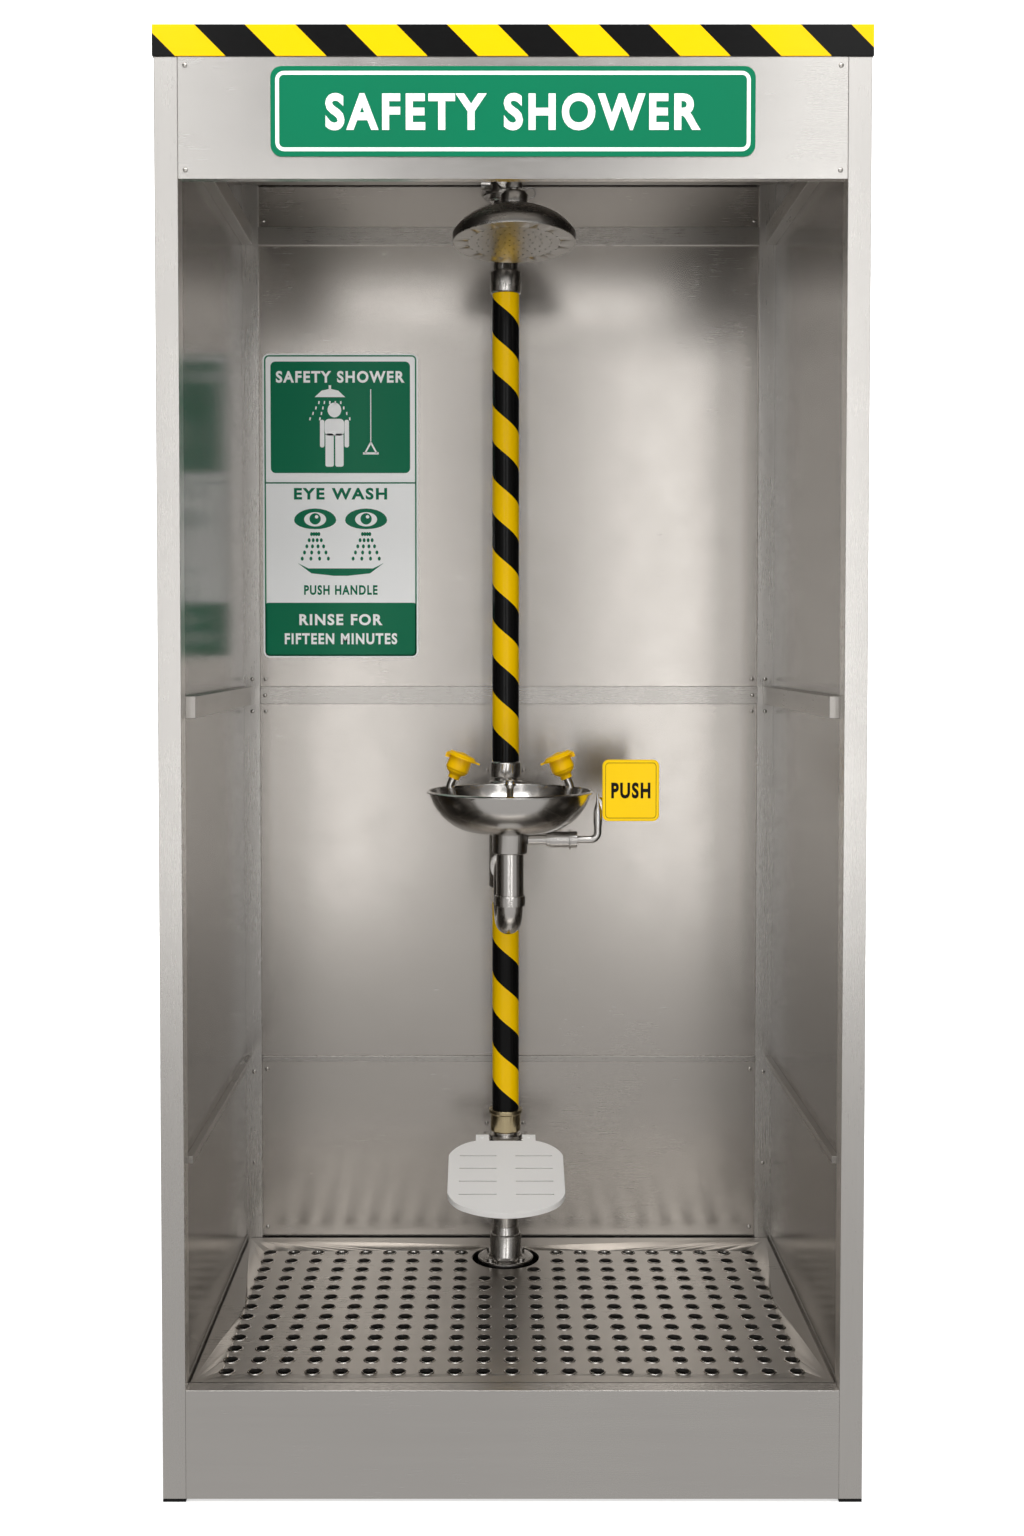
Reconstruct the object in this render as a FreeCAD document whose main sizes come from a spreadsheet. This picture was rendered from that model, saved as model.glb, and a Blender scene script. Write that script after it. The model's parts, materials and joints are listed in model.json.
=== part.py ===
import FreeCAD, Part
import math
import os
import Sketcher

# Emergency safety shower: a steel cubicle with a drained floor, an overhead shower worked
# by a foot treadle and an eye wash bowl worked by a push plate.
# Frame: millimetres, X to the right, Y to the back wall, Z up.  The origin is on the floor
# under the middle of the cubicle.

doc = FreeCAD.newDocument("SafetyShower")
sheet = doc.addObject("Spreadsheet::Sheet", "sizes")

DRIVING_SIZES = (
    ("width", 1150), ("depth", 780), ("height", 2400),
    # posts, rails and sheet
    ("post", 38), ("tube_wall", 2), ("rear_post_width", 67), ("rail", 36),
    ("skin", 1.5), ("side_wall", 35), ("back_wall", 30), ("rail_stand_out", 20),
    ("foot_height", 5), ("joint_strip", 12), ("joint_level", 551), ("mid_rail_level", 1289),
    ("top_rail_drop", 180), ("ceiling_drop", 60), ("rivet_radius", 4),
    # roof and front
    ("fascia_height", 50), ("fascia_plate", 3), ("roof_overhang", 2), ("header_drop", 244),
    ("header_depth", 18), ("sign_width", 776), ("sign_height", 143), ("sign_drop", 209),
    ("wall_sign_left", -501), ("wall_sign_width", 316), ("wall_sign_bottom", 1384),
    ("wall_sign_height", 618), ("sign_plate", 2),
    # base and floor
    ("floor_level", 186), ("sill_depth", 31), ("grating_plate", 6), ("hole_pitch", 48),
    ("hole_radius", 11.5), ("first_row", 75), ("floor_gap", 4), ("ledge", 18),
    ("tray_level", 20), ("tray_height", 130), ("collar_clearance", 12),
    # riser and what is on it
    ("riser_x", -7), ("riser_y", 235), ("pipe_radius", 24.15), ("pipe_wall", 3.2),
    ("sleeve_wall", 2.4), ("sleeve_gap", 0.1), ("fit_gap", 0.25), ("flange_reach", 30.85),
    ("flange_plate", 10),
    ("flange_level", 180), ("socket_wall", 6.85), ("socket_top", 238), ("bead_height", 15),
    ("pedestal_gap", 25.85), ("collar_wall", 5.85), ("low_collar_level", 442),
    ("collar_height", 45), ("mid_collar_level", 1147), ("mid_collar_height", 33),
    ("top_collar_drop", 303), ("low_sleeve_top", 900), ("riser_drop", 125),
    ("tee_wall", 8.85), ("tee_bottom", 930), ("socket_depth", 30),
    # shower
    ("shower_x", 7), ("bowl_gap", 6), ("arm_drop", 88), ("arm_radius", 13.2),
    ("ball_drop", 167), ("rose_drop", 115), ("rose_reach", 12), ("ball_radius", 14),
    ("swivel_gap", 0.4), ("nut_radius", 24.7),
    ("face_radius", 113.5), ("dome_height", 66), ("dome_wall", 2), ("face_plate", 5),
    ("head_tilt", 6), ("valve_wall", 7.85), ("inlet_length", 35),
    # eye wash
    ("bowl_radius", 152), ("bowl_rim", 1136), ("bowl_depth", 76), ("bowl_wall", 2), ("bowl_lip", 4),
    ("bowl_flat", 58), ("drain_wall", 7.4), ("drain_bottom", 1020), ("tail_step", 1.45),
    ("tail_bottom", 942), ("nut_height", 20), ("trap_bend", 40), ("trap_wall", 2),
    ("waste_level", 978), ("nozzle_x", 91), ("cup_radius", 22), ("cup_level", 1198),
    ("cup_height", 40), ("cup_lean", 22), ("lid_radius", 29), ("lid_gap", 0.3),
    ("pin_offset", 5), ("pin_drop", 3.7),
    ("tube_radius", 8), ("eye_valve_level", 1046), ("eye_valve_radius", 15),
    ("branch_radius", 10.65), ("stem_reach", 125), ("handle_offset", 8), ("handle_radius", 7),
    ("plate_gap", 20), ("plate_width", 106), ("plate_bottom", 1081), ("plate_height", 115),
    ("plate_thickness", 6),
    # treadle and its linkage
    ("treadle_width", 222), ("treadle_reach", 268), ("treadle_plate", 12),
    ("treadle_slope", 17.8), ("treadle_level", 422), ("arm_gap", 13.85), ("arm_plate", 6),
    ("arm_height", 20), ("crank_gap", 12.85), ("crank_start", 7.5), ("pin_radius", 4),
    ("pin_clearance", 1), ("pivot_radius", 5), ("running_gap", 0.05), ("rod_radius", 5),
    ("guide_gap", 0.6), ("slot_width", 3.6), ("slot_pitch", 41.5),
    ("treadle_neck", 59), ("clamp_wall", 8), ("clamp_gap", 2),
)
for row, (alias, value) in enumerate(DRIVING_SIZES, start=1):
    sheet.set("A%d" % row, alias)
    sheet.set("B%d" % row, str(value))
    sheet.setAlias("B%d" % row, alias)
doc.recompute()


class Size:
    """A length that carries both its number and the formula that gives it in the sheet."""

    def __init__(self, number, formula):
        self.number = float(number)
        self.formula = formula

    def __add__(self, other):
        other = size(other)
        return Size(self.number + other.number, "(%s + %s)" % (self.formula, other.formula))

    def __sub__(self, other):
        other = size(other)
        return Size(self.number - other.number, "(%s - %s)" % (self.formula, other.formula))

    def __mul__(self, other):
        other = size(other)
        return Size(self.number * other.number, "(%s * %s)" % (self.formula, other.formula))

    def __truediv__(self, other):
        other = size(other)
        return Size(self.number / other.number, "(%s / %s)" % (self.formula, other.formula))

    def __radd__(self, other):
        return size(other) + self

    def __rsub__(self, other):
        return size(other) - self

    def __rmul__(self, other):
        return size(other) * self

    def __neg__(self):
        return size(0) - self


def size(value):
    return value if isinstance(value, Size) else Size(value, "(%r)" % value)


def sine(angle):
    angle = size(angle)
    return Size(math.sin(math.radians(angle.number)), "sin(%s)" % angle.formula)


def cosine(angle):
    angle = size(angle)
    return Size(math.cos(math.radians(angle.number)), "cos(%s)" % angle.formula)


class Sheet:
    """Every driving size by its name, as in s.width."""

    def __getattr__(self, name):
        return Size(getattr(sheet, name), "sizes." + name)


s = Sheet()
nodes = []


def node(label, piece):
    piece.Label = label
    nodes.append(piece)
    return piece


def bind(piece, name, value):
    piece.setExpression(name, size(value).formula)


def place(piece, x=0, y=0, z=0, turn=None):
    if turn is not None:
        axis, degrees = turn
        turned = FreeCAD.Rotation(FreeCAD.Vector(*axis), degrees)
        piece.Placement = FreeCAD.Placement(FreeCAD.Vector(), turned)
    bind(piece, "Placement.Base.x", x)
    bind(piece, "Placement.Base.y", y)
    bind(piece, "Placement.Base.z", z)
    return piece


def span(a, b):
    """The two ends of a stretch, lowest first."""
    a, b = size(a), size(b)
    return (a, b) if a.number <= b.number else (b, a)


def around(middle, whole):
    return (middle - size(whole) / 2, middle + size(whole) / 2)


def both_sides(low, high):
    """The stretch from low to high on the left and on the right of the middle."""
    return (span(-size(low), -size(high)), span(low, high))


def box(name, x, y, z):
    piece = doc.addObject("Part::Box", name)
    for side, ends in (("Length", x), ("Width", y), ("Height", z)):
        bind(piece, side, size(ends[1]) - ends[0])
    return place(piece, x[0], y[0], z[0])


TURNS = {"x": ((0, 1, 0), 90), "y": ((1, 0, 0), -90), "z": None}


def cylinder(name, radius, x, y, z, axis="z"):
    """A round bar: the stretch is given for its own axis and the centre for the other two."""
    piece = doc.addObject("Part::Cylinder", name)
    ends = {"x": x, "y": y, "z": z}[axis]
    start = [x, y, z]
    start["xyz".index(axis)] = ends[0]
    bind(piece, "Radius", radius)
    bind(piece, "Height", size(ends[1]) - ends[0])
    return place(piece, *start, turn=TURNS[axis])


def cut(name, base, *tools):
    piece = doc.addObject("Part::Cut", name)
    piece.Base = base
    piece.Tool = tools[0] if len(tools) == 1 else fuse(name + "_tools", *tools)
    return piece


def fuse(name, *pieces):
    piece = doc.addObject("Part::MultiFuse", name)
    piece.Shapes = list(pieces)
    return piece


def group(name, pieces):
    piece = doc.addObject("Part::Compound", name)
    piece.Links = list(pieces)
    return piece


def tube(name, outer, inner, x, y, z, axis="z"):
    return cut(name, cylinder(name + "_outside", outer, x, y, z, axis),
               cylinder(name + "_bore", inner, x, y, z, axis))


def hollow(name, x, y, z, wall, open_to=""):
    """A folded sheet box: each side named in open_to, such as z+, has no wall."""
    inside = []
    for axis, ends in (("x", x), ("y", y), ("z", z)):
        low = ends[0] if axis + "-" in open_to else ends[0] + wall
        high = ends[1] if axis + "+" in open_to else ends[1] - wall
        inside.append((low, high))
    return cut(name, box(name + "_outside", x, y, z), box(name + "_inside", *inside))


def sketch_on(body, plane, outline):
    """A closed outline of (across, up) points; a third entry makes the edge that leads to
    the point an arc of that radius, bulging left when it is positive."""
    sketch = body.newObject("Sketcher::SketchObject", body.Name + "_sketch")
    faces = {f.Role: f for f in body.Origin.OriginFeatures}
    sketch.AttachmentSupport = [(faces[plane], "")]
    sketch.MapMode = "FlatFace"
    points = [(size(p[0]), size(p[1])) for p in outline]
    count = len(points)
    ends = []
    for i in range(count):
        a = FreeCAD.Vector(points[i - 1][0].number, points[i - 1][1].number)
        b = FreeCAD.Vector(points[i][0].number, points[i][1].number)
        radius = outline[i][2] if len(outline[i]) > 2 else None
        if radius is None:
            edge = sketch.addGeometry(Part.LineSegment(a, b))
            ends.append((edge, 1, 2))
            continue
        bulge = size(radius).number
        half = (b - a) * 0.5
        left = FreeCAD.Vector(-half.y, half.x).normalize()
        height = math.sqrt(bulge * bulge - half.Length ** 2)
        side = 1 if bulge > 0 else -1
        centre = a + half - left * (side * height)
        crown = centre + left * (side * abs(bulge))
        edge = sketch.addGeometry(Part.Arc(a, crown, b))
        start = sketch.getPoint(edge, 1)
        forward = start.distanceToPoint(a) < start.distanceToPoint(b)
        ends.append((edge, 1, 2) if forward else (edge, 2, 1))
        rule = sketch.addConstraint(Sketcher.Constraint("Radius", edge, abs(bulge)))
        text = size(radius).formula if side > 0 else (-size(radius)).formula
        sketch.setExpression("Constraints[%d]" % rule, text)
    for i in range(count):
        edge, first, last = ends[i]
        following = ends[(i + 1) % count]
        sketch.addConstraint(
            Sketcher.Constraint("Coincident", edge, last, following[0], following[1]))
        across, up = points[i]
        for kind, value, line in (("DistanceX", across, -2), ("DistanceY", up, -1)):
            if value.number == 0:
                sketch.addConstraint(Sketcher.Constraint("PointOnObject", edge, last, line))
                continue
            rule = sketch.addConstraint(
                Sketcher.Constraint(kind, -1, 1, edge, last, value.number))
            sketch.setExpression("Constraints[%d]" % rule, value.formula)
    return sketch


def turned(name, outline, x=0, y=0, z=0, turn=None):
    """A round piece: its half section, as (radius, height) points, turned about its axis."""
    body = doc.addObject("PartDesign::Body", name)
    sketch = sketch_on(body, "XZ_Plane", outline)
    feature = body.newObject("PartDesign::Revolution", name + "_turned")
    feature.Profile = sketch
    feature.ReferenceAxis = (sketch, ["V_Axis"])
    feature.Angle = 360
    body.Tip = feature
    return place(body, x, y, z, turn)


def padded(name, outline, plane, length, x=0, y=0, z=0):
    """A plate: its outline in the plane, made thick by length along the plane's normal."""
    body = doc.addObject("PartDesign::Body", name)
    sketch = sketch_on(body, plane, outline)
    feature = body.newObject("PartDesign::Pad", name + "_pad")
    feature.Profile = sketch
    bind(feature, "Length", length)
    body.Tip = feature
    return place(body, x, y, z)


def bent_path(points, radius):
    """Straight runs through the points, joined by arcs of one radius."""
    corners = [FreeCAD.Vector(*[size(c).number for c in p]) for p in points]
    edges = []
    start = corners[0]
    for before, corner, after in zip(corners, corners[1:], corners[2:]):
        into = (corner - before).normalize()
        out = (after - corner).normalize()
        half_turn = into.getAngle(out) / 2
        back = radius * math.tan(half_turn)
        arc_start = corner - into * back
        arc_end = corner + out * back
        inward = (out - into).normalize()
        middle = corner + inward * (radius / math.cos(half_turn) - radius)
        if arc_start.distanceToPoint(start) > 0.001:
            edges.append(Part.LineSegment(start, arc_start).toShape())
        edges.append(Part.Arc(arc_start, middle, arc_end).toShape())
        start = arc_end
    if start.distanceToPoint(corners[-1]) > 0.001:
        edges.append(Part.LineSegment(start, corners[-1]).toShape())
    return Part.Wire(edges)


def bent_bar(points, bend, radius):
    path = bent_path(points, size(bend).number)
    start = path.Edges[0].valueAt(path.Edges[0].FirstParameter)
    along = path.Edges[0].tangentAt(path.Edges[0].FirstParameter)
    ring = Part.Wire([Part.makeCircle(size(radius).number, start, along)])
    return path.makePipeShell([ring], True, False)


def bent_pipe(points, bend, outer, inner):
    return bent_bar(points, bend, outer).cut(bent_bar(points, bend, inner))


def shaped(name, shape):
    piece = doc.addObject("Part::Feature", name)
    piece.Shape = shape
    return piece


HALF = s.width / 2
FRONT = -s.depth / 2
BACK = s.depth / 2
FRONT_POST_BACK = FRONT + s.post
REAR_POST_FRONT = BACK - s.post
WALL_X = HALF - s.side_wall
WALL_Y = BACK - s.back_wall
POST_X = HALF - s.post
REAR_POST_X = HALF - s.rear_post_width
EAVES = s.height - s.fascia_height
JOINT_TOP = s.joint_level + s.joint_strip
MID_TOP = s.mid_rail_level + s.rail
TOP_RAIL = s.height - s.top_rail_drop
CEILING = s.height - s.ceiling_drop
HEADER_BOTTOM = s.height - s.header_drop
SIGN_BOTTOM = s.height - s.sign_drop
FLANGE_RADIUS = s.pipe_radius + s.flange_reach
SOCKET_RADIUS = s.pipe_radius + s.socket_wall
PEDESTAL_RADIUS = s.pipe_radius + s.pedestal_gap
COLLAR_RADIUS = s.pipe_radius + s.collar_wall
TEE_RADIUS = s.pipe_radius + s.tee_wall
VALVE_RADIUS = s.pipe_radius + s.valve_wall
ROSE_RADIUS = VALVE_RADIUS + s.rose_reach
TAIL_RADIUS = s.pipe_radius + s.tail_step
DRAIN_RADIUS = TAIL_RADIUS + s.drain_wall
CLAMP_RADIUS = s.pipe_radius + s.clamp_wall
CRANK = CLAMP_RADIUS + s.crank_gap
ARM_X = s.pipe_radius + s.arm_gap
BOWL_Y = s.riser_y - TEE_RADIUS - s.bowl_gap - s.bowl_lip - s.bowl_radius
PLATE_LEFT = s.bowl_radius + s.plate_gap
HANDLE_X = PLATE_LEFT - s.handle_offset
TOP_RAIL_TOP = TOP_RAIL + s.rail
BAYS = ((s.floor_level, s.joint_level), (JOINT_TOP, s.mid_rail_level),
        (MID_TOP, TOP_RAIL), (TOP_RAIL_TOP, CEILING))


# ---- posts: square steel tube, closed at the foot by a levelling foot
def posts():
    front = []
    rear = []
    for x in both_sides(POST_X, HALF):
        front.append(hollow("front_post", x, (FRONT, FRONT_POST_BACK), (s.foot_height, EAVES),
                            s.tube_wall, "z- z+"))
    for x in both_sides(REAR_POST_X, HALF):
        rear.append(hollow("rear_post", x, (REAR_POST_FRONT, BACK), (s.foot_height, EAVES),
                           s.tube_wall, "z- z+"))
    node("front_posts", group("front_posts", front))
    node("rear_posts", group("rear_posts", rear))


# ---- feet: black plates, each with a spigot up its post
def feet():
    pieces = []
    rows = ((POST_X, (FRONT, FRONT_POST_BACK)), (REAR_POST_X, (REAR_POST_FRONT, BACK)))
    for inner, y in rows:
        for x in both_sides(inner, HALF):
            plate = box("foot_plate", x, y, (0, s.foot_height))
            inset = s.tube_wall + 0.2
            spigot = box("foot_spigot", (x[0] + inset, x[1] - inset),
                         (y[0] + inset, y[1] - inset), (s.foot_height, s.foot_height * 4))
            pieces.append(fuse("foot", plate, spigot))
    node("levelling_feet", group("levelling_feet", pieces))


# ---- rails: box rails tie the posts together at three heights
def rails():
    side = []
    back = []
    inner = WALL_X - s.rail_stand_out
    levels = ((s.mid_rail_level, MID_TOP), (TOP_RAIL, TOP_RAIL_TOP))
    for z in levels:
        for x in both_sides(inner, inner + s.rail):
            side.append(hollow("side_rail", x, (FRONT_POST_BACK, REAR_POST_FRONT), z,
                               s.tube_wall, "y+"))
        back.append(hollow("back_rail", (-REAR_POST_X, REAR_POST_X),
                           (BACK - s.skin - s.rail, BACK - s.skin), z, s.tube_wall, "x- x+"))
    strip = (s.joint_level, JOINT_TOP)
    for x in both_sides(inner + s.rail / 4, inner + s.rail):
        side.append(box("side_strip", x, (FRONT_POST_BACK, REAR_POST_FRONT), strip))
    back.append(box("back_strip", (-REAR_POST_X, REAR_POST_X),
                    (WALL_Y - 4, BACK - s.skin), strip))
    node("side_rails", group("side_rails", side))
    node("back_rails", group("back_rails", back))


# ---- liners and skins: folded steel sheets inside and outside the rails
def wall_sheets():
    liners = []
    skins = []
    y = (FRONT_POST_BACK, REAR_POST_FRONT)
    for z in BAYS:
        for x in both_sides(WALL_X, WALL_X + s.skin):
            liners.append(box("side_liner", x, y, z))
    for x in both_sides(HALF - s.skin, HALF):
        skins.append(box("side_skin", x, y, (s.foot_height, EAVES)))
    backs = [box("back_sheet", (-REAR_POST_X, REAR_POST_X), (WALL_Y, WALL_Y + s.skin), z)
             for z in BAYS]
    back_skin = box("back_skin", (-REAR_POST_X, REAR_POST_X), (BACK - s.skin, BACK),
                    (s.foot_height, EAVES))
    outlet = cylinder("back_skin_outlet", s.pipe_radius + 6, s.riser_x,
                      (BACK - s.skin, BACK), WASTE_Z, "y")
    node("side_liners", group("side_liners", liners))
    node("back_liner", group("back_sheets", backs))
    node("outer_side_skins", group("outer_side_skins", skins))
    node("outer_back_skin", cut("outer_back_skin", back_skin, outlet))


# ---- roof: a pressed cap, a ceiling sheet, the striped fascia and the sign panel
def roof():
    x = (-HALF - s.roof_overhang, HALF + s.roof_overhang)
    y = (FRONT, BACK + s.fascia_plate)
    cap_outside = box("roof_outside", x, y, (EAVES, s.height))
    cap_inside = box("roof_inside", (-HALF, HALF), (FRONT, BACK), (EAVES, s.height - s.skin))
    hole = cylinder("roof_hole", s.pipe_radius + 3, s.riser_x, s.riser_y,
                    (EAVES, s.height))
    node("roof_cap", cut("roof_cap", cap_outside, cap_inside, hole))
    ceiling = box("ceiling_sheet", (-WALL_X, WALL_X), (FRONT_POST_BACK, REAR_POST_FRONT),
                  (CEILING, CEILING + s.skin))
    way = cylinder("ceiling_hole", s.pipe_radius + 3, s.riser_x, s.riser_y,
                   (CEILING, CEILING + s.skin))
    node("ceiling_panel", cut("ceiling_panel", ceiling, way))
    node("fascia_strip", box("fascia_strip", x, (FRONT - s.fascia_plate, FRONT),
                             (EAVES, s.height)))
    node("header_panel", hollow("header_panel", (-POST_X, POST_X),
                                (FRONT, FRONT + s.header_depth), (HEADER_BOTTOM, EAVES),
                                s.skin, "y+"))
    node("header_sign", box("header_sign", around(size(0), s.sign_width),
                            (FRONT - s.fascia_plate, FRONT),
                            (SIGN_BOTTOM, SIGN_BOTTOM + s.sign_height)))


# ---- wall sign: a plate beside the riser
def wall_sign():
    x = (s.wall_sign_left, s.wall_sign_left + s.wall_sign_width)
    z = (s.wall_sign_bottom, s.wall_sign_bottom + s.wall_sign_height)
    node("wall_sign", box("wall_sign", x, (WALL_Y - s.sign_plate, WALL_Y), z))


# ---- base: kick plate with its sill, drip tray, ledges and the perforated floor
TRAY_FRONT = FRONT + s.sill_depth
WASTE_Z = s.tray_level + 55


def base():
    x = (-POST_X, POST_X)
    upright = box("kick_upright", x, (FRONT, FRONT + s.skin), (s.foot_height, s.floor_level))
    sill = box("kick_sill", x, (FRONT, TRAY_FRONT), (s.floor_level - s.skin, s.floor_level))
    lip = box("kick_lip", x, (FRONT, TRAY_FRONT), (s.foot_height, s.foot_height + s.skin))
    node("kick_plate", fuse("kick_plate", upright, sill, lip))

    tray_y = (TRAY_FRONT + s.skin, REAR_POST_FRONT)
    tray = hollow("tray", x, tray_y, (s.tray_level, s.tray_level + s.tray_height),
                  s.tube_wall, "z+")
    outlet = cylinder("tray_outlet", s.pipe_radius + 1, s.riser_x,
                      (REAR_POST_FRONT - s.tube_wall, REAR_POST_FRONT), WASTE_Z, "y")
    node("drip_tray", cut("drip_tray", tray, outlet))

    ledges = []
    under = s.floor_level - s.grating_plate
    for low, high in both_sides(POST_X - s.ledge, POST_X + 3):
        wall = span(high, high - 3) if high.number > 0 else span(low, low + 3)
        upright = box("ledge_upright", wall, (FRONT_POST_BACK, REAR_POST_FRONT),
                      (s.tray_level + s.tray_height, s.floor_level + 6))
        seat = box("ledge_seat", (low, high), (FRONT_POST_BACK, REAR_POST_FRONT),
                   (under - 4, under))
        ledges.append(fuse("ledge", upright, seat))
    node("floor_ledges", group("floor_ledges", ledges))


def floor_grating():
    half = (POST_X - s.floor_gap).number
    low = (TRAY_FRONT + s.skin).number
    high = (REAR_POST_FRONT - s.floor_gap / 2).number
    under = (s.floor_level - s.grating_plate).number
    centre = FreeCAD.Vector(s.riser_x.number, s.riser_y.number, under)
    cut_out = (FLANGE_RADIUS + s.collar_clearance).number
    rim = Part.makePolygon([FreeCAD.Vector(x, y, under) for x, y in (
        (-half, low), (half, low), (half, high), (-half, high), (-half, low))])
    wires = [rim, Part.Wire([Part.makeCircle(cut_out, centre)])]
    pitch = s.hole_pitch.number
    radius = s.hole_radius.number
    columns = int((half - pitch / 2) // pitch)
    rows = int((high - low - pitch) // pitch)
    first = (FRONT + s.first_row).number
    for row in range(rows):
        for column in range(-columns, columns + 1):
            spot = FreeCAD.Vector(column * pitch, first + row * pitch, under)
            inside = spot.y + radius < high - 6
            if inside and spot.distanceToPoint(centre) > cut_out + radius + 6:
                wires.append(Part.Wire([Part.makeCircle(radius, spot)]))
    face = Part.Face(wires, "Part::FaceMakerBullseye")
    lift = FreeCAD.Vector(0, 0, s.grating_plate.number)
    node("floor_grating", shaped("floor_grating", face.extrude(lift)))


# ---- rivets: low round heads on the back wall, its posts and rails, and the header
def rivet(x, seat, z):
    head = doc.addObject("Part::Cone", "rivet")
    bind(head, "Radius1", s.rivet_radius)
    bind(head, "Radius2", s.rivet_radius / 2)
    bind(head, "Height", s.rivet_radius / 2)
    return place(head, x, seat, z, ((1, 0, 0), 90))


def rivets():
    edge = REAR_POST_X - 10
    post_middle = (REAR_POST_X + WALL_X) / 2
    middle = s.mid_rail_level + s.rail / 2
    rail_face = BACK - s.skin - s.rail
    by_rail = (middle - 33, middle + 33)
    rows = [(edge, rail_face, middle)]
    for z in by_rail + (s.joint_level - 16, TOP_RAIL_TOP + 14, s.floor_level + 20):
        rows.append((edge, WALL_Y, z))
    for z in by_rail + (s.joint_level - 20, s.floor_level + 156):
        rows.append((post_middle, REAR_POST_FRONT, z))
    for z in (HEADER_BOTTOM + 14, EAVES - 14):
        rows.append((POST_X - 12, FRONT, z))
    pieces = [rivet(0, rail_face, middle)]
    for z in (s.low_collar_level - 20, s.mid_collar_level + 6):
        pieces += [rivet(s.riser_x + across, WALL_Y, z) for across in (-38, 38)]
    for across, seat, z in rows:
        pieces += [rivet(-across, seat, z), rivet(across, seat, z)]
    node("panel_rivets", group("panel_rivets", pieces))


# ---- riser: the lower half drains the bowl, the upper half feeds the eye wash
TEE_TOP = s.mid_collar_level
RISER_TOP = s.height - s.riser_drop
TOP_COLLAR = s.height - s.top_collar_drop
ROSE_LEVEL = s.height - s.rose_drop
ARM_LEVEL = s.height - s.arm_drop
BALL_LEVEL = s.height - s.ball_drop
BORE = s.pipe_radius - s.pipe_wall
FIT = s.pipe_radius + s.fit_gap
SLEEVE_IN = s.pipe_radius + s.sleeve_gap
SLEEVE_OUT = SLEEVE_IN + s.sleeve_wall


def riser():
    x, y = s.riser_x, s.riser_y
    stop = (BACK - s.socket_depth).number
    spot = FreeCAD.Vector(x.number, stop, WASTE_Z.number)
    along = FreeCAD.Vector(0, 1, 0)
    depth = s.socket_depth.number
    joint = WASTE_Z + 60
    drop = tube("waste_drop", s.pipe_radius, BORE, x, y, (joint, s.tee_bottom + 20))
    pipe = bent_pipe(((x, y, joint), (x, y, WASTE_Z), (x, stop, WASTE_Z)), 38,
                     s.pipe_radius, BORE)
    socket = Part.makeCylinder((s.pipe_radius + 5).number, depth + 8, spot - along * 8, along)
    socket = socket.cut(Part.makeCylinder(s.pipe_radius.number, 8, spot - along * 8, along))
    socket = socket.cut(Part.makeCylinder((s.pipe_radius + 1).number, depth, spot, along))
    elbow = shaped("waste_elbow", pipe.fuse(socket).removeSplitter())
    node("waste_pipe", group("waste_pipe", (drop, elbow)))
    node("supply_riser", tube("supply_riser", s.pipe_radius, BORE, x, y,
                              (TEE_TOP - 20, RISER_TOP)))
    node("lower_sleeve", tube("lower_sleeve", SLEEVE_OUT, SLEEVE_IN, x, y,
                              (s.low_collar_level + s.collar_height, s.low_sleeve_top)))
    mid_top = s.mid_collar_level + s.mid_collar_height
    node("upper_sleeve", tube("upper_sleeve", SLEEVE_OUT, SLEEVE_IN, x, y,
                              (mid_top, TOP_COLLAR)))


def collars():
    x, y = s.riser_x, s.riser_y
    r = COLLAR_RADIUS
    chamfer = 3
    for label, level, high, lip in (
            ("lower_collar", s.low_collar_level, s.collar_height, 3),
            ("middle_collar", s.mid_collar_level, s.mid_collar_height, 0),
            ("top_collar", TOP_COLLAR, s.collar_height, 0)):
        outline = [(FIT, 0), (r - chamfer, 0), (r, chamfer)]
        if lip:
            outline += [(r, high - 10), (r + lip, high - 10 + lip), (r + lip, high),
                        (FIT + lip, high), (FIT, high - lip)]
        else:
            outline += [(r, high - chamfer), (r - chamfer, high), (FIT, high)]
        node(label, turned(label, outline, x, y, level))


def floor_fixing():
    x, y = s.riser_x, s.riser_y
    level = s.flange_level
    top = level + s.flange_plate
    bead_top = s.socket_top + s.bead_height
    flange = turned("flange_turned", (
        (FIT, level), (FLANGE_RADIUS, level), (FLANGE_RADIUS, top - 2),
        (FLANGE_RADIUS - 2, top), (SOCKET_RADIUS + 4, top), (SOCKET_RADIUS, top + 6),
        (SOCKET_RADIUS, s.socket_top - 2), (SOCKET_RADIUS - 2, s.socket_top),
        (SOCKET_RADIUS - 3, s.socket_top), (FIT + 1, bead_top), (FIT, bead_top)), x, y, 0)
    spots = [(x + dx, y + dy) for dx in (-43 * 0.71, 43 * 0.71)
             for dy in (-43 * 0.71, 43 * 0.71)]
    holes = [cylinder("flange_hole", 4.5, bx, by, (level, top)) for bx, by in spots]
    node("floor_flange", cut("floor_flange", flange, *holes))
    bolts = []
    for bx, by in spots:
        shank = cylinder("bolt_shank", 4, bx, by, (level - 8, top))
        head = cylinder("bolt_head", 7.5, bx, by, (top, top + 6))
        bolts.append(fuse("flange_bolt", shank, head))
    node("flange_bolts", group("flange_bolts", bolts))
    pedestal = tube("pedestal_tube", PEDESTAL_RADIUS, PEDESTAL_RADIUS - 4, x, y,
                    (s.tray_level + s.tube_wall, level - 8))
    way_out = cylinder("pedestal_way", s.pipe_radius + 2, x, (y, y + PEDESTAL_RADIUS + 5),
                       WASTE_Z, "y")
    plate = tube("pedestal_plate", FLANGE_RADIUS, FIT, x, y, (level - 8, level))
    bolt_ways = [cylinder("pedestal_hole", 4.1, bx, by, (level - 8, level))
                 for bx, by in spots]
    node("riser_pedestal", cut("riser_pedestal", fuse("pedestal_body", pedestal, plate),
                               way_out, *bolt_ways))


# ---- wall brackets: an arm behind each collar, bored to guide the pull rod
ROD_Y = s.riser_y + CRANK * cosine(s.crank_start)


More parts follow.
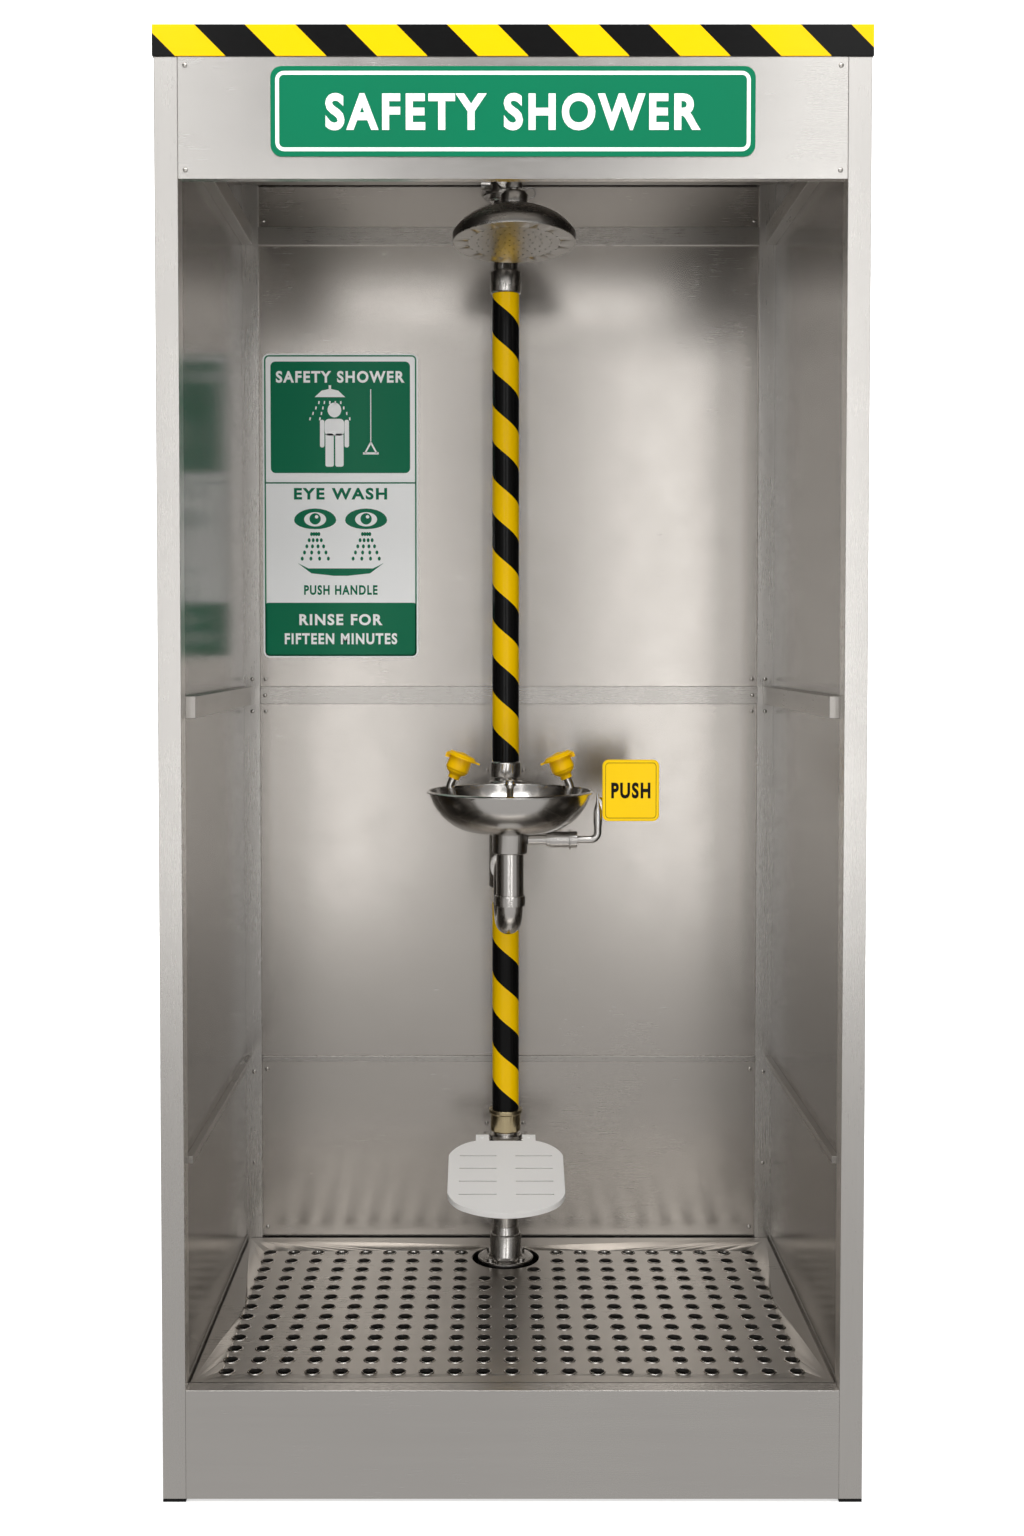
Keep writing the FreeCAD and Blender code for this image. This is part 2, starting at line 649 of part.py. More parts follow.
def wall_brackets():
    pieces = []
    for level, high in ((s.low_collar_level, s.collar_height),
                        (s.mid_collar_level, s.mid_collar_height),
                        (TOP_COLLAR, s.collar_height)):
        z = around(level + high * 0.62, 12)
        arm = box("bracket_arm", around(s.riser_x, 30),
                  (s.riser_y + COLLAR_RADIUS - 4, WALL_Y - 4), z)
        seat = cylinder("bracket_seat", COLLAR_RADIUS, s.riser_x, s.riser_y, z)
        guide = cylinder("bracket_guide", s.rod_radius + s.guide_gap, s.riser_x, ROD_Y, z)
        foot = box("bracket_foot", around(s.riser_x, 44), (WALL_Y - 4, WALL_Y),
                   around(level + high * 0.62, 60))
        body = fuse("bracket_body", cut("bracket_bar", arm, seat, guide), foot)
        pieces.append(body)
        for rise in (-20, 20):
            pieces.append(cylinder("bracket_screw", 4, s.riser_x, (WALL_Y - 6.5, WALL_Y - 4),
                                   level + high * 0.62 + rise, "y"))
    node("wall_brackets", group("wall_brackets", pieces))


# ---- tee block: one casting, with the feed chamber above and the waste chamber below
def tee_block():
    x, y = s.riser_x, s.riser_y
    outline = (
        (0, s.tee_bottom + 30), (BORE, s.tee_bottom + 30), (BORE, s.tee_bottom + 20),
        (FIT, s.tee_bottom + 20), (FIT, s.tee_bottom), (TEE_RADIUS - 3, s.tee_bottom),
        (TEE_RADIUS, s.tee_bottom + 3), (TEE_RADIUS, TEE_TOP - 8),
        (TEE_RADIUS - 3, TEE_TOP - 5), (FIT + 3, TEE_TOP - 5), (FIT, TEE_TOP - 5),
        (FIT, TEE_TOP - 20), (BORE, TEE_TOP - 20), (BORE, s.eye_valve_level - 15),
        (0, s.eye_valve_level - 15))
    block = turned("tee_turned", outline, x, y, 0)
    waste_boss = cylinder("waste_boss", s.pipe_radius + 6, x, (y - 60, y), s.waste_level, "y")
    waste_way = cylinder("waste_way", s.pipe_radius - 2, x, (y - 60, y), s.waste_level, "y")
    drop = cylinder("waste_fall", BORE, x, y, (s.tee_bottom + 20, s.waste_level))
    seat = cylinder("drop_seat", FIT, x, y, (s.tee_bottom, s.tee_bottom + 20))
    socket = cylinder("waste_socket", s.pipe_radius + 0.05, x, (y - 60, y - 45),
                      s.waste_level, "y")
    feed_boss = cylinder("feed_boss", s.branch_radius + 5, (x, x + 52), y,
                         s.eye_valve_level, "x")
    feed_way = cylinder("feed_way", s.branch_radius - 2, (x, x + 52), y,
                        s.eye_valve_level, "x")
    feed_socket = cylinder("feed_socket", s.branch_radius + 0.05, (x + 40, x + 52), y,
                           s.eye_valve_level, "x")
    body = fuse("tee_body", block, waste_boss, feed_boss)
    node("tee_block", cut("tee_block", body, waste_way, drop, seat, socket, feed_way,
                          feed_socket))


# ---- overhead shower: valve on the riser, arm, swivel ball, nut, dome and spray plate
def shower_valve():
    x, y = s.riser_x, s.riser_y
    top = s.height + s.inlet_length
    body = turned("valve_turned", (
        (BORE, RISER_TOP), (VALVE_RADIUS - 4, RISER_TOP),
        (VALVE_RADIUS, RISER_TOP + 4), (VALVE_RADIUS, ROSE_LEVEL), (ROSE_RADIUS, ROSE_LEVEL),
        (ROSE_RADIUS, ROSE_LEVEL + 4), (VALVE_RADIUS, ROSE_LEVEL + 4),
        (VALVE_RADIUS, ARM_LEVEL + 20), (s.pipe_radius + 2, ARM_LEVEL + 24),
        (s.pipe_radius + 2, s.height), (s.pipe_radius, s.height), (s.pipe_radius, top),
        (BORE, top)), x, y, 0)
    arm_boss = cylinder("arm_boss", s.arm_radius + 6, x, (y - VALVE_RADIUS - 14, y - BORE),
                        ARM_LEVEL, "y")
    arm_way = cylinder("arm_way", s.arm_radius + 0.05, x, (y - VALVE_RADIUS - 14, y),
                       ARM_LEVEL, "y")
    gland = cylinder("valve_gland", 12, (x - VALVE_RADIUS - 8, x - BORE), y,
                     ARM_LEVEL, "x")
    stem_way = cylinder("stem_way", 6 + s.running_gap, (x - VALVE_RADIUS - 8, x), y,
                        ARM_LEVEL, "x")
    rod_way = cylinder("rod_way", s.rod_radius + 1, x, ROD_Y, (ROSE_LEVEL, ROSE_LEVEL + 4))
    eye_level = ROSE_LEVEL + 9.5
    eye_x = x + ROSE_RADIUS + 3.4
    eye = doc.addObject("Part::Torus", "valve_eye")
    eye.Radius1 = 10.4
    eye.Radius2 = 1.5
    place(eye, eye_x, y, eye_level, ((1, 0, 0), 90))
    eye_shank = cylinder("eye_shank", 1.5, (x + VALVE_RADIUS - 2, eye_x - 10), y,
                         eye_level, "x")
    whole = fuse("valve_whole", body, arm_boss, gland, eye, eye_shank)
    node("shower_valve_body", cut("shower_valve_body", whole, arm_way, stem_way, rod_way))


def shower_arm():
    x, y, z = s.riser_x, s.riser_y, ARM_LEVEL
    start = y - VALVE_RADIUS
    points = ((x, start, z), (x, start - 40, z), (s.shower_x, start - 80, z),
              (s.shower_x, BOWL_Y, z), (s.shower_x, BOWL_Y, BALL_LEVEL + 27))
    pipe = bent_pipe(points, 28, s.arm_radius, s.arm_radius - 2)
    node("shower_arm", shaped("shower_arm", pipe))


HEAD_TURN = ((1, 0, 0), -s.head_tilt.number)


def shower_head():
    x, y, z = s.shower_x, BOWL_Y, BALL_LEVEL
    neck = 9
    stub_bottom = 18
    rise = (s.ball_radius * s.ball_radius).number - neck * neck
    ball = turned("swivel_ball", (
        (0, -s.ball_radius), (neck, math.sqrt(rise), -s.ball_radius), (neck, stub_bottom),
        (16, stub_bottom), (16, stub_bottom + 9), (0, stub_bottom + 9)), x, y, z)
    node("swivel_ball", ball)
    cup = s.ball_radius + s.swivel_gap
    lip = 12
    lip_rise = Size(math.sqrt(cup.number ** 2 - lip ** 2),
                    "sqrt(%s * %s - %d)" % (cup.formula, cup.formula, lip * lip))
    foot = 17
    nut = turned("bell_nut", (
        (cup, 0), (lip, lip_rise, -cup), (lip + 2, 12), (s.nut_radius - 4, 12),
        (s.nut_radius, 7), (s.nut_radius, 2 - foot), (s.nut_radius - 2, -foot),
        (cup, -foot)), x, y, z, HEAD_TURN)
    node("bell_nut", nut)
    top = -foot - 0.3
    rim = -foot - s.dome_height
    w = s.dome_wall
    shoulder = s.face_radius * 0.62
    dome = turned("shower_dome", (
        (0, top), (s.nut_radius + 2, top), (shoulder, top - 14, 120),
        (s.face_radius, rim + 16, 90), (s.face_radius, rim),
        (s.face_radius - w, rim), (s.face_radius - w, rim + 16 - w),
        (shoulder - w, top - 14 - w * 1.6, -88), (s.nut_radius, top - w, -118),
        (0, top - w)), x, y, z, HEAD_TURN)
    node("shower_dome", dome)
    inner = s.face_radius - w - 0.05
    plate = turned("plate_turned", (
        (0, rim), (inner, rim), (inner, rim + s.face_plate), (0, rim + s.face_plate)),
        0, 0, 0)
    holes = []
    for count, ring in ((1, 0), (6, 17), (12, 34), (18, 51), (24, 68), (30, 85)):
        for k in range(count):
            angle = 2 * math.pi * k / count
            holes.append(cylinder("spray_hole", 1.6, size(ring * math.cos(angle)),
                                  size(ring * math.sin(angle)), (rim, rim + s.face_plate)))
    face = cut("spray_plate", plate, group("spray_holes", holes))
    node("spray_plate", place(face, x, y, z, HEAD_TURN))


# ---- eye wash: bowl, strainer post, nozzles with hinged dust caps, drain and trap
BOWL_FLOOR = s.bowl_rim - s.bowl_depth


def bowl():
    x, y = size(0), BOWL_Y
    r = s.bowl_radius
    w = s.bowl_wall
    reach = r - s.bowl_flat
    sweep = (reach * reach + s.bowl_depth * s.bowl_depth) / (2 * s.bowl_depth)
    hole = TAIL_RADIUS - 2
    node("eyewash_bowl", turned("eyewash_bowl", (
        (hole, BOWL_FLOOR), (s.bowl_flat, BOWL_FLOOR),
        (r, s.bowl_rim, -(sweep + 0.5)), (r + s.bowl_lip, s.bowl_rim - 2),
        (r + s.bowl_lip, s.bowl_rim),
        (r, s.bowl_rim + 3), (r - w, s.bowl_rim + 2),
        (s.bowl_flat, BOWL_FLOOR + w, sweep - w + 1.5), (hole, BOWL_FLOOR + w)), x, y, 0))
    node("drain_collar", turned("drain_collar", (
        (TAIL_RADIUS + 0.05, s.drain_bottom), (DRAIN_RADIUS - 2, s.drain_bottom),
        (DRAIN_RADIUS, s.drain_bottom + 2), (DRAIN_RADIUS, BOWL_FLOOR - 4),
        (DRAIN_RADIUS + 5, BOWL_FLOOR), (hole, BOWL_FLOOR), (hole, BOWL_FLOOR - 8),
        (TAIL_RADIUS + 0.05, BOWL_FLOOR - 8)), x, y, 0))
    node("strainer_post", turned("strainer_post", (
        (0, BOWL_FLOOR + w), (hole + 8, BOWL_FLOOR + w), (hole + 8, BOWL_FLOOR + w + 3),
        (16, BOWL_FLOOR + w + 6), (7, BOWL_FLOOR + w + 26, -40), (7, s.bowl_rim + 6),
        (12, s.bowl_rim + 12), (9, s.bowl_rim + 21, 9), (3, s.bowl_rim + 24, 9),
        (0, s.bowl_rim + 24)), x, y, 0))


def drain():
    x, y = size(0), BOWL_Y
    node("tail_pipe", tube("tail_pipe", TAIL_RADIUS, TAIL_RADIUS - 2, x, y,
                           (s.tail_bottom - 14, BOWL_FLOOR - 8)))
    nut_bottom = s.tail_bottom - s.nut_height
    node("slip_nut", turned("slip_nut", (
        (TAIL_RADIUS + 0.05, nut_bottom + 4), (TAIL_RADIUS + 2, nut_bottom),
        (TAIL_RADIUS + 3, nut_bottom), (TAIL_RADIUS + 3.5, s.tail_bottom - 2),
        (TAIL_RADIUS + 2, s.tail_bottom), (TAIL_RADIUS + 0.05, s.tail_bottom)), x, y, 0))
    back_y = y + 2 * s.trap_bend
    bottom = nut_bottom + 4 - s.trap_bend
    across = s.riser_x
    points = ((x, y, nut_bottom + 4), (x, y, bottom), (across, back_y, bottom),
              (across, back_y, s.waste_level), (across, s.riser_y - 46, s.waste_level))
    trap = bent_pipe(points, s.trap_bend - 0.1, s.pipe_radius, s.pipe_radius - s.trap_wall)
    node("trap_pipe", shaped("trap_pipe", trap))


def eyewash_heads():
    y = BOWL_Y
    lean = s.cup_lean
    tubes = []
    cups = []
    for side, name in ((-1, "left"), (1, "right")):
        x = side * s.nozzle_x
        turn = ((0, 1, 0), -side * lean.number)
        axis = (-side * sine(lean), cosine(lean))
        foot = (x - axis[0] * s.cup_height, s.cup_level - axis[1] * s.cup_height)
        elbow = (foot[0] - axis[0] * 16, foot[1] - axis[1] * 16)
        root_x = side * 7.3
        root_z = BOWL_FLOOR + 40
        points = ((root_x, y, root_z), (elbow[0] - side * 8, y, root_z + 4),
                  (elbow[0], y, elbow[1]), (foot[0], y, foot[1]))
        tubes.append(shaped("nozzle_tube", bent_bar(points, 12, s.tube_radius)))
        r = s.cup_radius
        bowl_piece = turned("cup_turned", (
            (0, 0), (s.tube_radius + 3, 0), (s.tube_radius + 3, 7), (r - 3, 13), (r, 18, 8),
            (r - 1, s.cup_height), (r - 4, s.cup_height), (r - 3, 20), (0, 20)))
        pin_x = side * (r + s.pin_offset)
        pin_z = s.cup_height - s.pin_drop
        lug = box("cup_lug", span(side * (r - 1), pin_x + side * 2.5), (-3, 3),
                  (pin_z - 2.8, pin_z + 2.6))
        lug_bore = cylinder("lug_bore", 1.5 + s.running_gap, pin_x, (-3, 3), pin_z, "y")
        cup = cut("nozzle_cup", fuse("cup_whole", bowl_piece, lug), lug_bore)
        cups.append(place(cup, foot[0], y, foot[1], turn))
        lid_z = s.cup_height + s.lid_gap
        lid = turned("lid_turned", (
            (0, lid_z), (s.lid_radius, lid_z), (s.lid_radius, lid_z + 3),
            (s.lid_radius - 6, lid_z + 8, 14), (3, lid_z + 11, 80), (0, lid_z + 11)), 0, 0, 0)
        cheeks = [box("lid_cheek", span(pin_x - side * 3.5, pin_x + side * 3), y_span,
                      (pin_z - 3, lid_z + 1)) for y_span in ((-7, -3.3), (3.3, 7))]
        pin = cylinder("lid_pin", 1.5, pin_x, (-7, 7), pin_z, "y")
        tab = box("lid_tab", span(-side * (s.lid_radius - 3), -side * (s.lid_radius + 7)),
                  (-5, 5), (lid_z, lid_z + 3))
        lid_whole = fuse("lid_whole_" + name, lid, pin, tab, *cheeks)
        node(name + "_dust_cap", place(lid_whole, foot[0], y, foot[1], turn))
    node("nozzle_tubes", group("nozzle_tubes", tubes))
    node("nozzle_cups", group("nozzle_cups", cups))


# ---- push valve: feed branch, valve body, bent handle and push plate
def push_valve():
    y, z = BOWL_Y, s.eye_valve_level
    body_x = 92
    feed = bent_pipe(((s.riser_x + 40, s.riser_y, z), (body_x, s.riser_y, z),
                      (body_x, y + s.eye_valve_radius + 6, z)), 28,
                     s.branch_radius, s.branch_radius - 2)
    node("feed_branch", shaped("feed_branch", feed))
    r = s.eye_valve_radius
    barrel = cylinder("barrel", r, (74, 110), y, z, "x")
    inlet = cylinder("barrel_inlet", r - 2, body_x, (y, y + r + 14), z, "y")
    inlet_way = cylinder("barrel_inlet_way", s.branch_radius + 0.05, body_x,
                         (y + r + 5.9, y + r + 14), z, "y")
    outlet = cylinder("barrel_outlet", 9.5, (DRAIN_RADIUS + 0.1, 74), y, z, "x")
    union = cylinder("barrel_union", 13, (68, 74), y, z, "x")
    stem_way = cylinder("barrel_stem_way", 6 + s.running_gap, (90, 110), y, z, "x")
    node("eyewash_valve_body", cut("eyewash_valve_body",
                                   fuse("barrel_whole", barrel, inlet, outlet, union),
                                   inlet_way, stem_way))
    gap = 0.3
    stem = cylinder("handle_stem", 6, (92, 111), y, z, "x")
    disc = cylinder("handle_disc", r + 4, (110 + gap, 113), y, z, "x")
    hub = cylinder("hub_barrel", r + 0.5, (113, s.stem_reach), y, z, "x")
    node("handle_hub", fuse("hub_whole", stem, disc, hub))
    bar = bent_bar(((s.stem_reach, y, z), (HANDLE_X, y, z),
                    (HANDLE_X, y, s.plate_bottom + 18)), 14, s.handle_radius)
    node("handle_arm", shaped("handle_arm", bar))


def push_plate():
    y = BOWL_Y
    low = s.plate_bottom
    left, right = PLATE_LEFT, PLATE_LEFT + s.plate_width
    top = low + s.plate_height
    c = 12
    outline = ((left, low + c), (left + c, low, -c), (right - c, low), (right, low + c, -c),
               (right, top - c), (right - c, top, -c), (left + c, top), (left, top - c, -c))
    plate = padded("plate_pad", outline, "XZ_Plane", s.plate_thickness, 0, y - 2, 0)
    node("push_plate", plate)
    arm_end = low + 18
    r = s.handle_radius
    ferrule = cylinder("ferrule", left - HANDLE_X, HANDLE_X, y, (low - 8, arm_end + 2))
    tip = turned("strap_tip", (
        (0, 0), (r + 0.5, 0), (r - 1, 8), (2.5, 33, 60), (0, 33)), HANDLE_X, y, arm_end)
    strap = box("strap_bar", (HANDLE_X, left + 22), (y - 2, y + 3),
                (arm_end + 2, arm_end + 26))
    way = cylinder("ferrule_way", r + 0.05, HANDLE_X, y, (low - 8, arm_end))
    node("plate_strap", cut("plate_strap", fuse("strap_whole", ferrule, tip, strap), way))


# ---- treadle: slotted plate on two arms, which pivot on a clamp and lift the pull rod
def treadle_point(along, up):
    """A point of the treadle from its pivot: along it towards the back, and up from it."""
    slope = s.treadle_slope
    return (s.riser_y + along * cosine(slope) - up * sine(slope),
            s.treadle_level + along * sine(slope) + up * cosine(slope))


def treadle():
    x, y, z = s.riser_x, s.riser_y, s.treadle_level
    top = s.arm_height / 2
    half = s.treadle_width / 2
    neck = s.treadle_neck
    notch = CLAMP_RADIUS + 1
    rear = -CLAMP_RADIUS - s.clamp_gap
    wide_from = -83
    wide_to = 65 - s.treadle_reach
    front = -s.treadle_reach
    crown = 18
    nose = half - 36
    outline = (
        (-notch, rear), (-notch, -13), (-neck, -13), (-neck, rear), (-half, wide_from, -75),
        (-half, wide_to), (-nose, front + crown, -62),
        (nose, front + crown, -(nose * nose + crown * crown) / (2 * crown)),
        (half, wide_to, -62), (half, wide_from), (neck, rear, -75), (neck, -13),
        (notch, -13), (notch, rear))
    plate = padded("tread", outline, "XY_Plane", s.treadle_plate, 0, 0, top)
    ways = []
    for row in range(4):
        middle = -85 - row * s.slot_pitch
        for side in (-1, 1):
            ways.append(box("tread_slot", span(side * 18, side * 90),
                            around(middle, s.slot_width), (top, top + s.treadle_plate)))
    screw_x = (neck + notch) / 2
    heads = [cylinder("tread_screw", 3.5, x_side, -22, (top + s.treadle_plate,
                                                        top + s.treadle_plate + 2))
             for x_side in (-screw_x, screw_x)]
    whole = fuse("treadle_plate", cut("tread_slotted", plate, group("slots", ways)), *heads)
    node("treadle_plate", place(whole, x, y, z, ((1, 0, 0), s.treadle_slope.number)))

    pin_y = ROD_Y
    pin_z = z - CRANK * sine(s.crank_start)
    arms = []
    low_front = treadle_point(front * 0.8, -top)
    high_front = treadle_point(front * 0.8, top)
    high_pivot = treadle_point(8, top)
    low_pivot = treadle_point(-20, -top)
    outline = (low_front, low_pivot, (pin_y - 4, pin_z - 9), (pin_y + 9, pin_z - 9),
               (pin_y + 9, pin_z + 9), high_pivot, high_front)
    for ends in both_sides(ARM_X, ARM_X + s.arm_plate):
        arm = padded("treadle_arm", outline, "YZ_Plane", s.arm_plate, x + ends[0], 0, 0)
        bore = cylinder("arm_bore", s.pivot_radius + s.running_gap,
                        (x + ends[0], x + ends[1]), y, z, "x")
        arms.append(cut("treadle_arm_bored", arm, bore))
    reach = ARM_X + s.arm_plate
    cross = cylinder("cross_pin", s.pin_radius, (x - reach, x + reach), pin_y, pin_z, "x")
    node("treadle_fork", fuse("treadle_fork", arms[0], arms[1], cross))

    band = tube("clamp_band", CLAMP_RADIUS, s.pipe_radius, x, y, (z - 14, z + 14))
    pins = [cylinder("clamp_trunnion", s.pivot_radius, ends, y, z, "x")
            for ends in ((x - reach - 4, x - s.pipe_radius - 4),
                         (x + s.pipe_radius + 4, x + reach + 4))]
    node("treadle_clamp", fuse("treadle_clamp", band, *pins))


# ---- pull rod: from the treadle's cross pin up to the lever of the shower valve
def linkage():
    x = s.riser_x
    low = s.treadle_level - CRANK * sine(s.crank_start)
    high = ARM_LEVEL - CRANK * sine(s.crank_start)
    eye = s.pin_radius + s.pin_clearance
    ends = []
    for level in (low, high):
        block = box("rod_end", around(x, 16), around(ROD_Y, 18), around(level, 22))
        way = cylinder("rod_eye", eye, (x - 8, x + 8), ROD_Y, level, "x")
        ends.append(cut("rod_end_bored", block, way))
    rod = cylinder("rod_bar", s.rod_radius, x, ROD_Y, (low + 11, high - 11))
    collar = cylinder("rod_collar", 11, x, ROD_Y, (s.low_sleeve_top + 130,
                                                   s.low_sleeve_top + 136))
    node("pull_rod", fuse("pull_rod", ends[0], ends[1], rod, collar))

    y, z = s.riser_y, ARM_LEVEL
    left = x - VALVE_RADIUS - 8
    hub = cylinder("lever_hub", 13, (left - 8, left - 0.3), y, z, "x")
    stem = cylinder("lever_stem", 6, (left - 0.3, x - 20), y, z, "x")
    outline = ((y - 2, z - 9), (ROD_Y, high - 8), (ROD_Y + 8, high), (ROD_Y, high + 8),
               (y - 2, z + 9))
    arm = padded("lever_arm", outline, "YZ_Plane", 8, left - 8, 0, 0)
    pin = cylinder("lever_pin", s.pin_radius, (left - 0.3, x + 10), ROD_Y, high, "x")
    node("valve_lever", fuse("valve_lever", hub, stem, arm, pin))


def return_spring():
    low = (s.low_sleeve_top + 136.3).number
    high = (s.mid_collar_level + s.mid_collar_height * 0.62 - 6.3).number
    wire = 1.2
    radius = s.rod_radius.number + 2.6
    turns = 12
    helix = Part.makeHelix((high - low - 2 * wire) / turns, high - low - 2 * wire, radius)
    ring = Part.Wire([Part.makeCircle(wire, FreeCAD.Vector(radius, 0, 0),
                                      FreeCAD.Vector(0, 1, 0))])
    coil = Part.Wire(helix.Edges).makePipeShell([ring], True, True)
    spring = shaped("return_spring", coil)
    spring.Placement = FreeCAD.Placement(
        FreeCAD.Vector(s.riser_x.number, ROD_Y.number, low + wire), FreeCAD.Rotation())
    node("return_spring", spring)


posts()
feet()
rails()
wall_sheets()
roof()
wall_sign()
base()
floor_grating()
rivets()
riser()
collars()
floor_fixing()
wall_brackets()
tee_block()
shower_valve()
shower_arm()
shower_head()
bowl()
drain()
eyewash_heads()
push_valve()
push_plate()
treadle()
linkage()
return_spring()
doc.recompute()

# ---- every object is checked before anything is written
failed = [o.Label for o in doc.Objects if "Invalid" in o.State or "Error" in o.State]
if failed:
    raise SystemExit("failed objects: " + ", ".join(failed))
for piece in nodes:
    if piece.Shape.isNull() or not piece.Shape.isValid():
        raise SystemExit("bad shape: " + piece.Label)
    if not piece.Shape.Solids:
        raise SystemExit("no solid: " + piece.Label)

os.makedirs("parts", exist_ok=True)
for piece in nodes:
    piece.Shape.exportStep("parts/" + piece.Label + ".step")
print(len(nodes), "nodes written")
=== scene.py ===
import json
import math

import bmesh
import bpy
from mathutils import Matrix, Vector

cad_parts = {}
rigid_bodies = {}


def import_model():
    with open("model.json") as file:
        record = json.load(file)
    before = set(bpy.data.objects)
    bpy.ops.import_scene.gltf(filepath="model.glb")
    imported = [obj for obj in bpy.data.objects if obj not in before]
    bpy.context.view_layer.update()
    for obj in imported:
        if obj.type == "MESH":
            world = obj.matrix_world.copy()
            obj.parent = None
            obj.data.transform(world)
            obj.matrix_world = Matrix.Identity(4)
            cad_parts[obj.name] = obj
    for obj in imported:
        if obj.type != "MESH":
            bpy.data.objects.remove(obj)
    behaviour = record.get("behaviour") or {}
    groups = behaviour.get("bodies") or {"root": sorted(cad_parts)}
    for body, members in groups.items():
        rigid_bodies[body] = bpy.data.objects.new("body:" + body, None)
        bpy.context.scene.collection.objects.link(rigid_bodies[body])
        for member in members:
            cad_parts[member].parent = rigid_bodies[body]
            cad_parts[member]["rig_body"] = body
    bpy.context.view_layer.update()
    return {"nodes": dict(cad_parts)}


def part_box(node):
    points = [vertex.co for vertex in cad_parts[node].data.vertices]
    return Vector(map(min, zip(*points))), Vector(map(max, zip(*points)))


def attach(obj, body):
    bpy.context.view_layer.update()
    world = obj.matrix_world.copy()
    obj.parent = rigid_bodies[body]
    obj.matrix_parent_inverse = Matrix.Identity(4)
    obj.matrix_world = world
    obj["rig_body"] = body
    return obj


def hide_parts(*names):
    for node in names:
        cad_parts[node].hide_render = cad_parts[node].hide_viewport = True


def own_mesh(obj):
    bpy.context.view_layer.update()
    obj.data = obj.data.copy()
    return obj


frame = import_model()
nodes = frame["nodes"]
scene = bpy.context.scene


# ---- Camera: a person's eye height, square to the open side and a little left of its middle,
# with a normal lens that takes in the whole cubicle.
lens = bpy.data.cameras.new("camera")
lens.sensor_width = 36
lens.lens = 40.89
lens.shift_x = 0.0122
lens.shift_y = -0.0402
camera = bpy.data.objects.new("camera", lens)
camera.location = (-0.0315, -3.2136, 1.4084)
camera.rotation_euler = (math.radians(90 - 1.99), 0, 0)
scene.collection.objects.link(camera)
scene.camera = camera


# ---- Studio: a white floor that sweeps up behind, two pairs of tall soft boxes beside the
# camera, one overhead, one behind, and a slim one inside the header that lights the shower head.
# They aren't part of the shower.
scene.view_settings.view_transform = "Standard"


def srgb(code):
    """A colour from its web code, as linear light."""
    parts = [int(code[i:i + 2], 16) / 255 for i in (1, 3, 5)]
    return tuple(p / 12.92 if p < 0.04045 else ((p + 0.055) / 1.055) ** 2.4 for p in parts) + (1,)


def sweep():
    """The floor and the background as one curved sheet."""
    radius, behind, front, side = 2.5, 5.0, -9.0, 12.0
    profile = [(front, 0.0)]
    for step in range(17):
        turn = math.radians(step * 90 / 16)
        profile.append((behind + radius * math.sin(turn), radius - radius * math.cos(turn)))
    profile.append((behind + radius, 9.0))
    points = [(x, y, z) for y, z in profile for x in (-side, side)]
    faces = [(2 * i, 2 * i + 1, 2 * i + 3, 2 * i + 2) for i in range(len(profile) - 1)]
    mesh = bpy.data.meshes.new("sweep")
    mesh.from_pydata(points, [], faces)
    mesh.shade_smooth()
    paper = bpy.data.materials.new("studio_paper")
    paper.use_nodes = True
    look = paper.node_tree.nodes["Principled BSDF"].inputs
    look["Base Color"].default_value = (0.93, 0.93, 0.93, 1)
    look["Roughness"].default_value = 0.9
    look["Emission Color"].default_value = (1, 1, 1, 1)
    look["Emission Strength"].default_value = 0.5
    mesh.materials.append(paper)
    piece = bpy.data.objects.new("sweep", mesh)
    scene.collection.objects.link(piece)
    piece.visible_glossy = False


sweep()
# the room is bright behind the shower and overhead, and greyer behind the person looking at it
world = bpy.data.worlds.new("studio")
world.use_nodes = True
room = world.node_tree
direction = room.nodes.new("ShaderNodeTexCoord")
split = room.nodes.new("ShaderNodeSeparateXYZ")
room.links.new(direction.outputs["Generated"], split.inputs[0])
depth = room.nodes.new("ShaderNodeMapRange")
depth.inputs["From Min"].default_value = -0.6
depth.inputs["From Max"].default_value = 0.4
room.links.new(split.outputs["Y"], depth.inputs["Value"])
walls = room.nodes.new("ShaderNodeMix")
walls.data_type = "RGBA"
walls.inputs[6].default_value = (0.34, 0.335, 0.33, 1)
walls.inputs[7].default_value = (0.90, 0.90, 0.90, 1)
room.links.new(depth.outputs["Result"], walls.inputs[0])
below = room.nodes.new("ShaderNodeMapRange")
below.inputs["From Min"].default_value = 0.05
below.inputs["From Max"].default_value = -0.25
room.links.new(split.outputs["Z"], below.inputs["Value"])
ground = room.nodes.new("ShaderNodeMix")
ground.data_type = "RGBA"
room.links.new(below.outputs["Result"], ground.inputs[0])
room.links.new(walls.outputs[2], ground.inputs[6])
ground.inputs[7].default_value = (0.56, 0.55, 0.54, 1)
room.links.new(ground.outputs[2], room.nodes["Background"].inputs["Color"])
room.nodes["Background"].inputs["Strength"].default_value = 1.0
scene.world = world


def soft_box(name, place, aim, width, height, power):
    """A rectangular lamp, with its power in watts, turned towards a spot."""
    light = bpy.data.lights.new(name, "AREA")
    light.shape = "RECTANGLE"
    light.size = width
    light.size_y = height
    light.energy = power
    lamp = bpy.data.objects.new(name, light)
    lamp.location = place
    lamp.rotation_euler = (Vector(aim) - Vector(place)).to_track_quat("-Z", "Y").to_euler()
    scene.collection.objects.link(lamp)


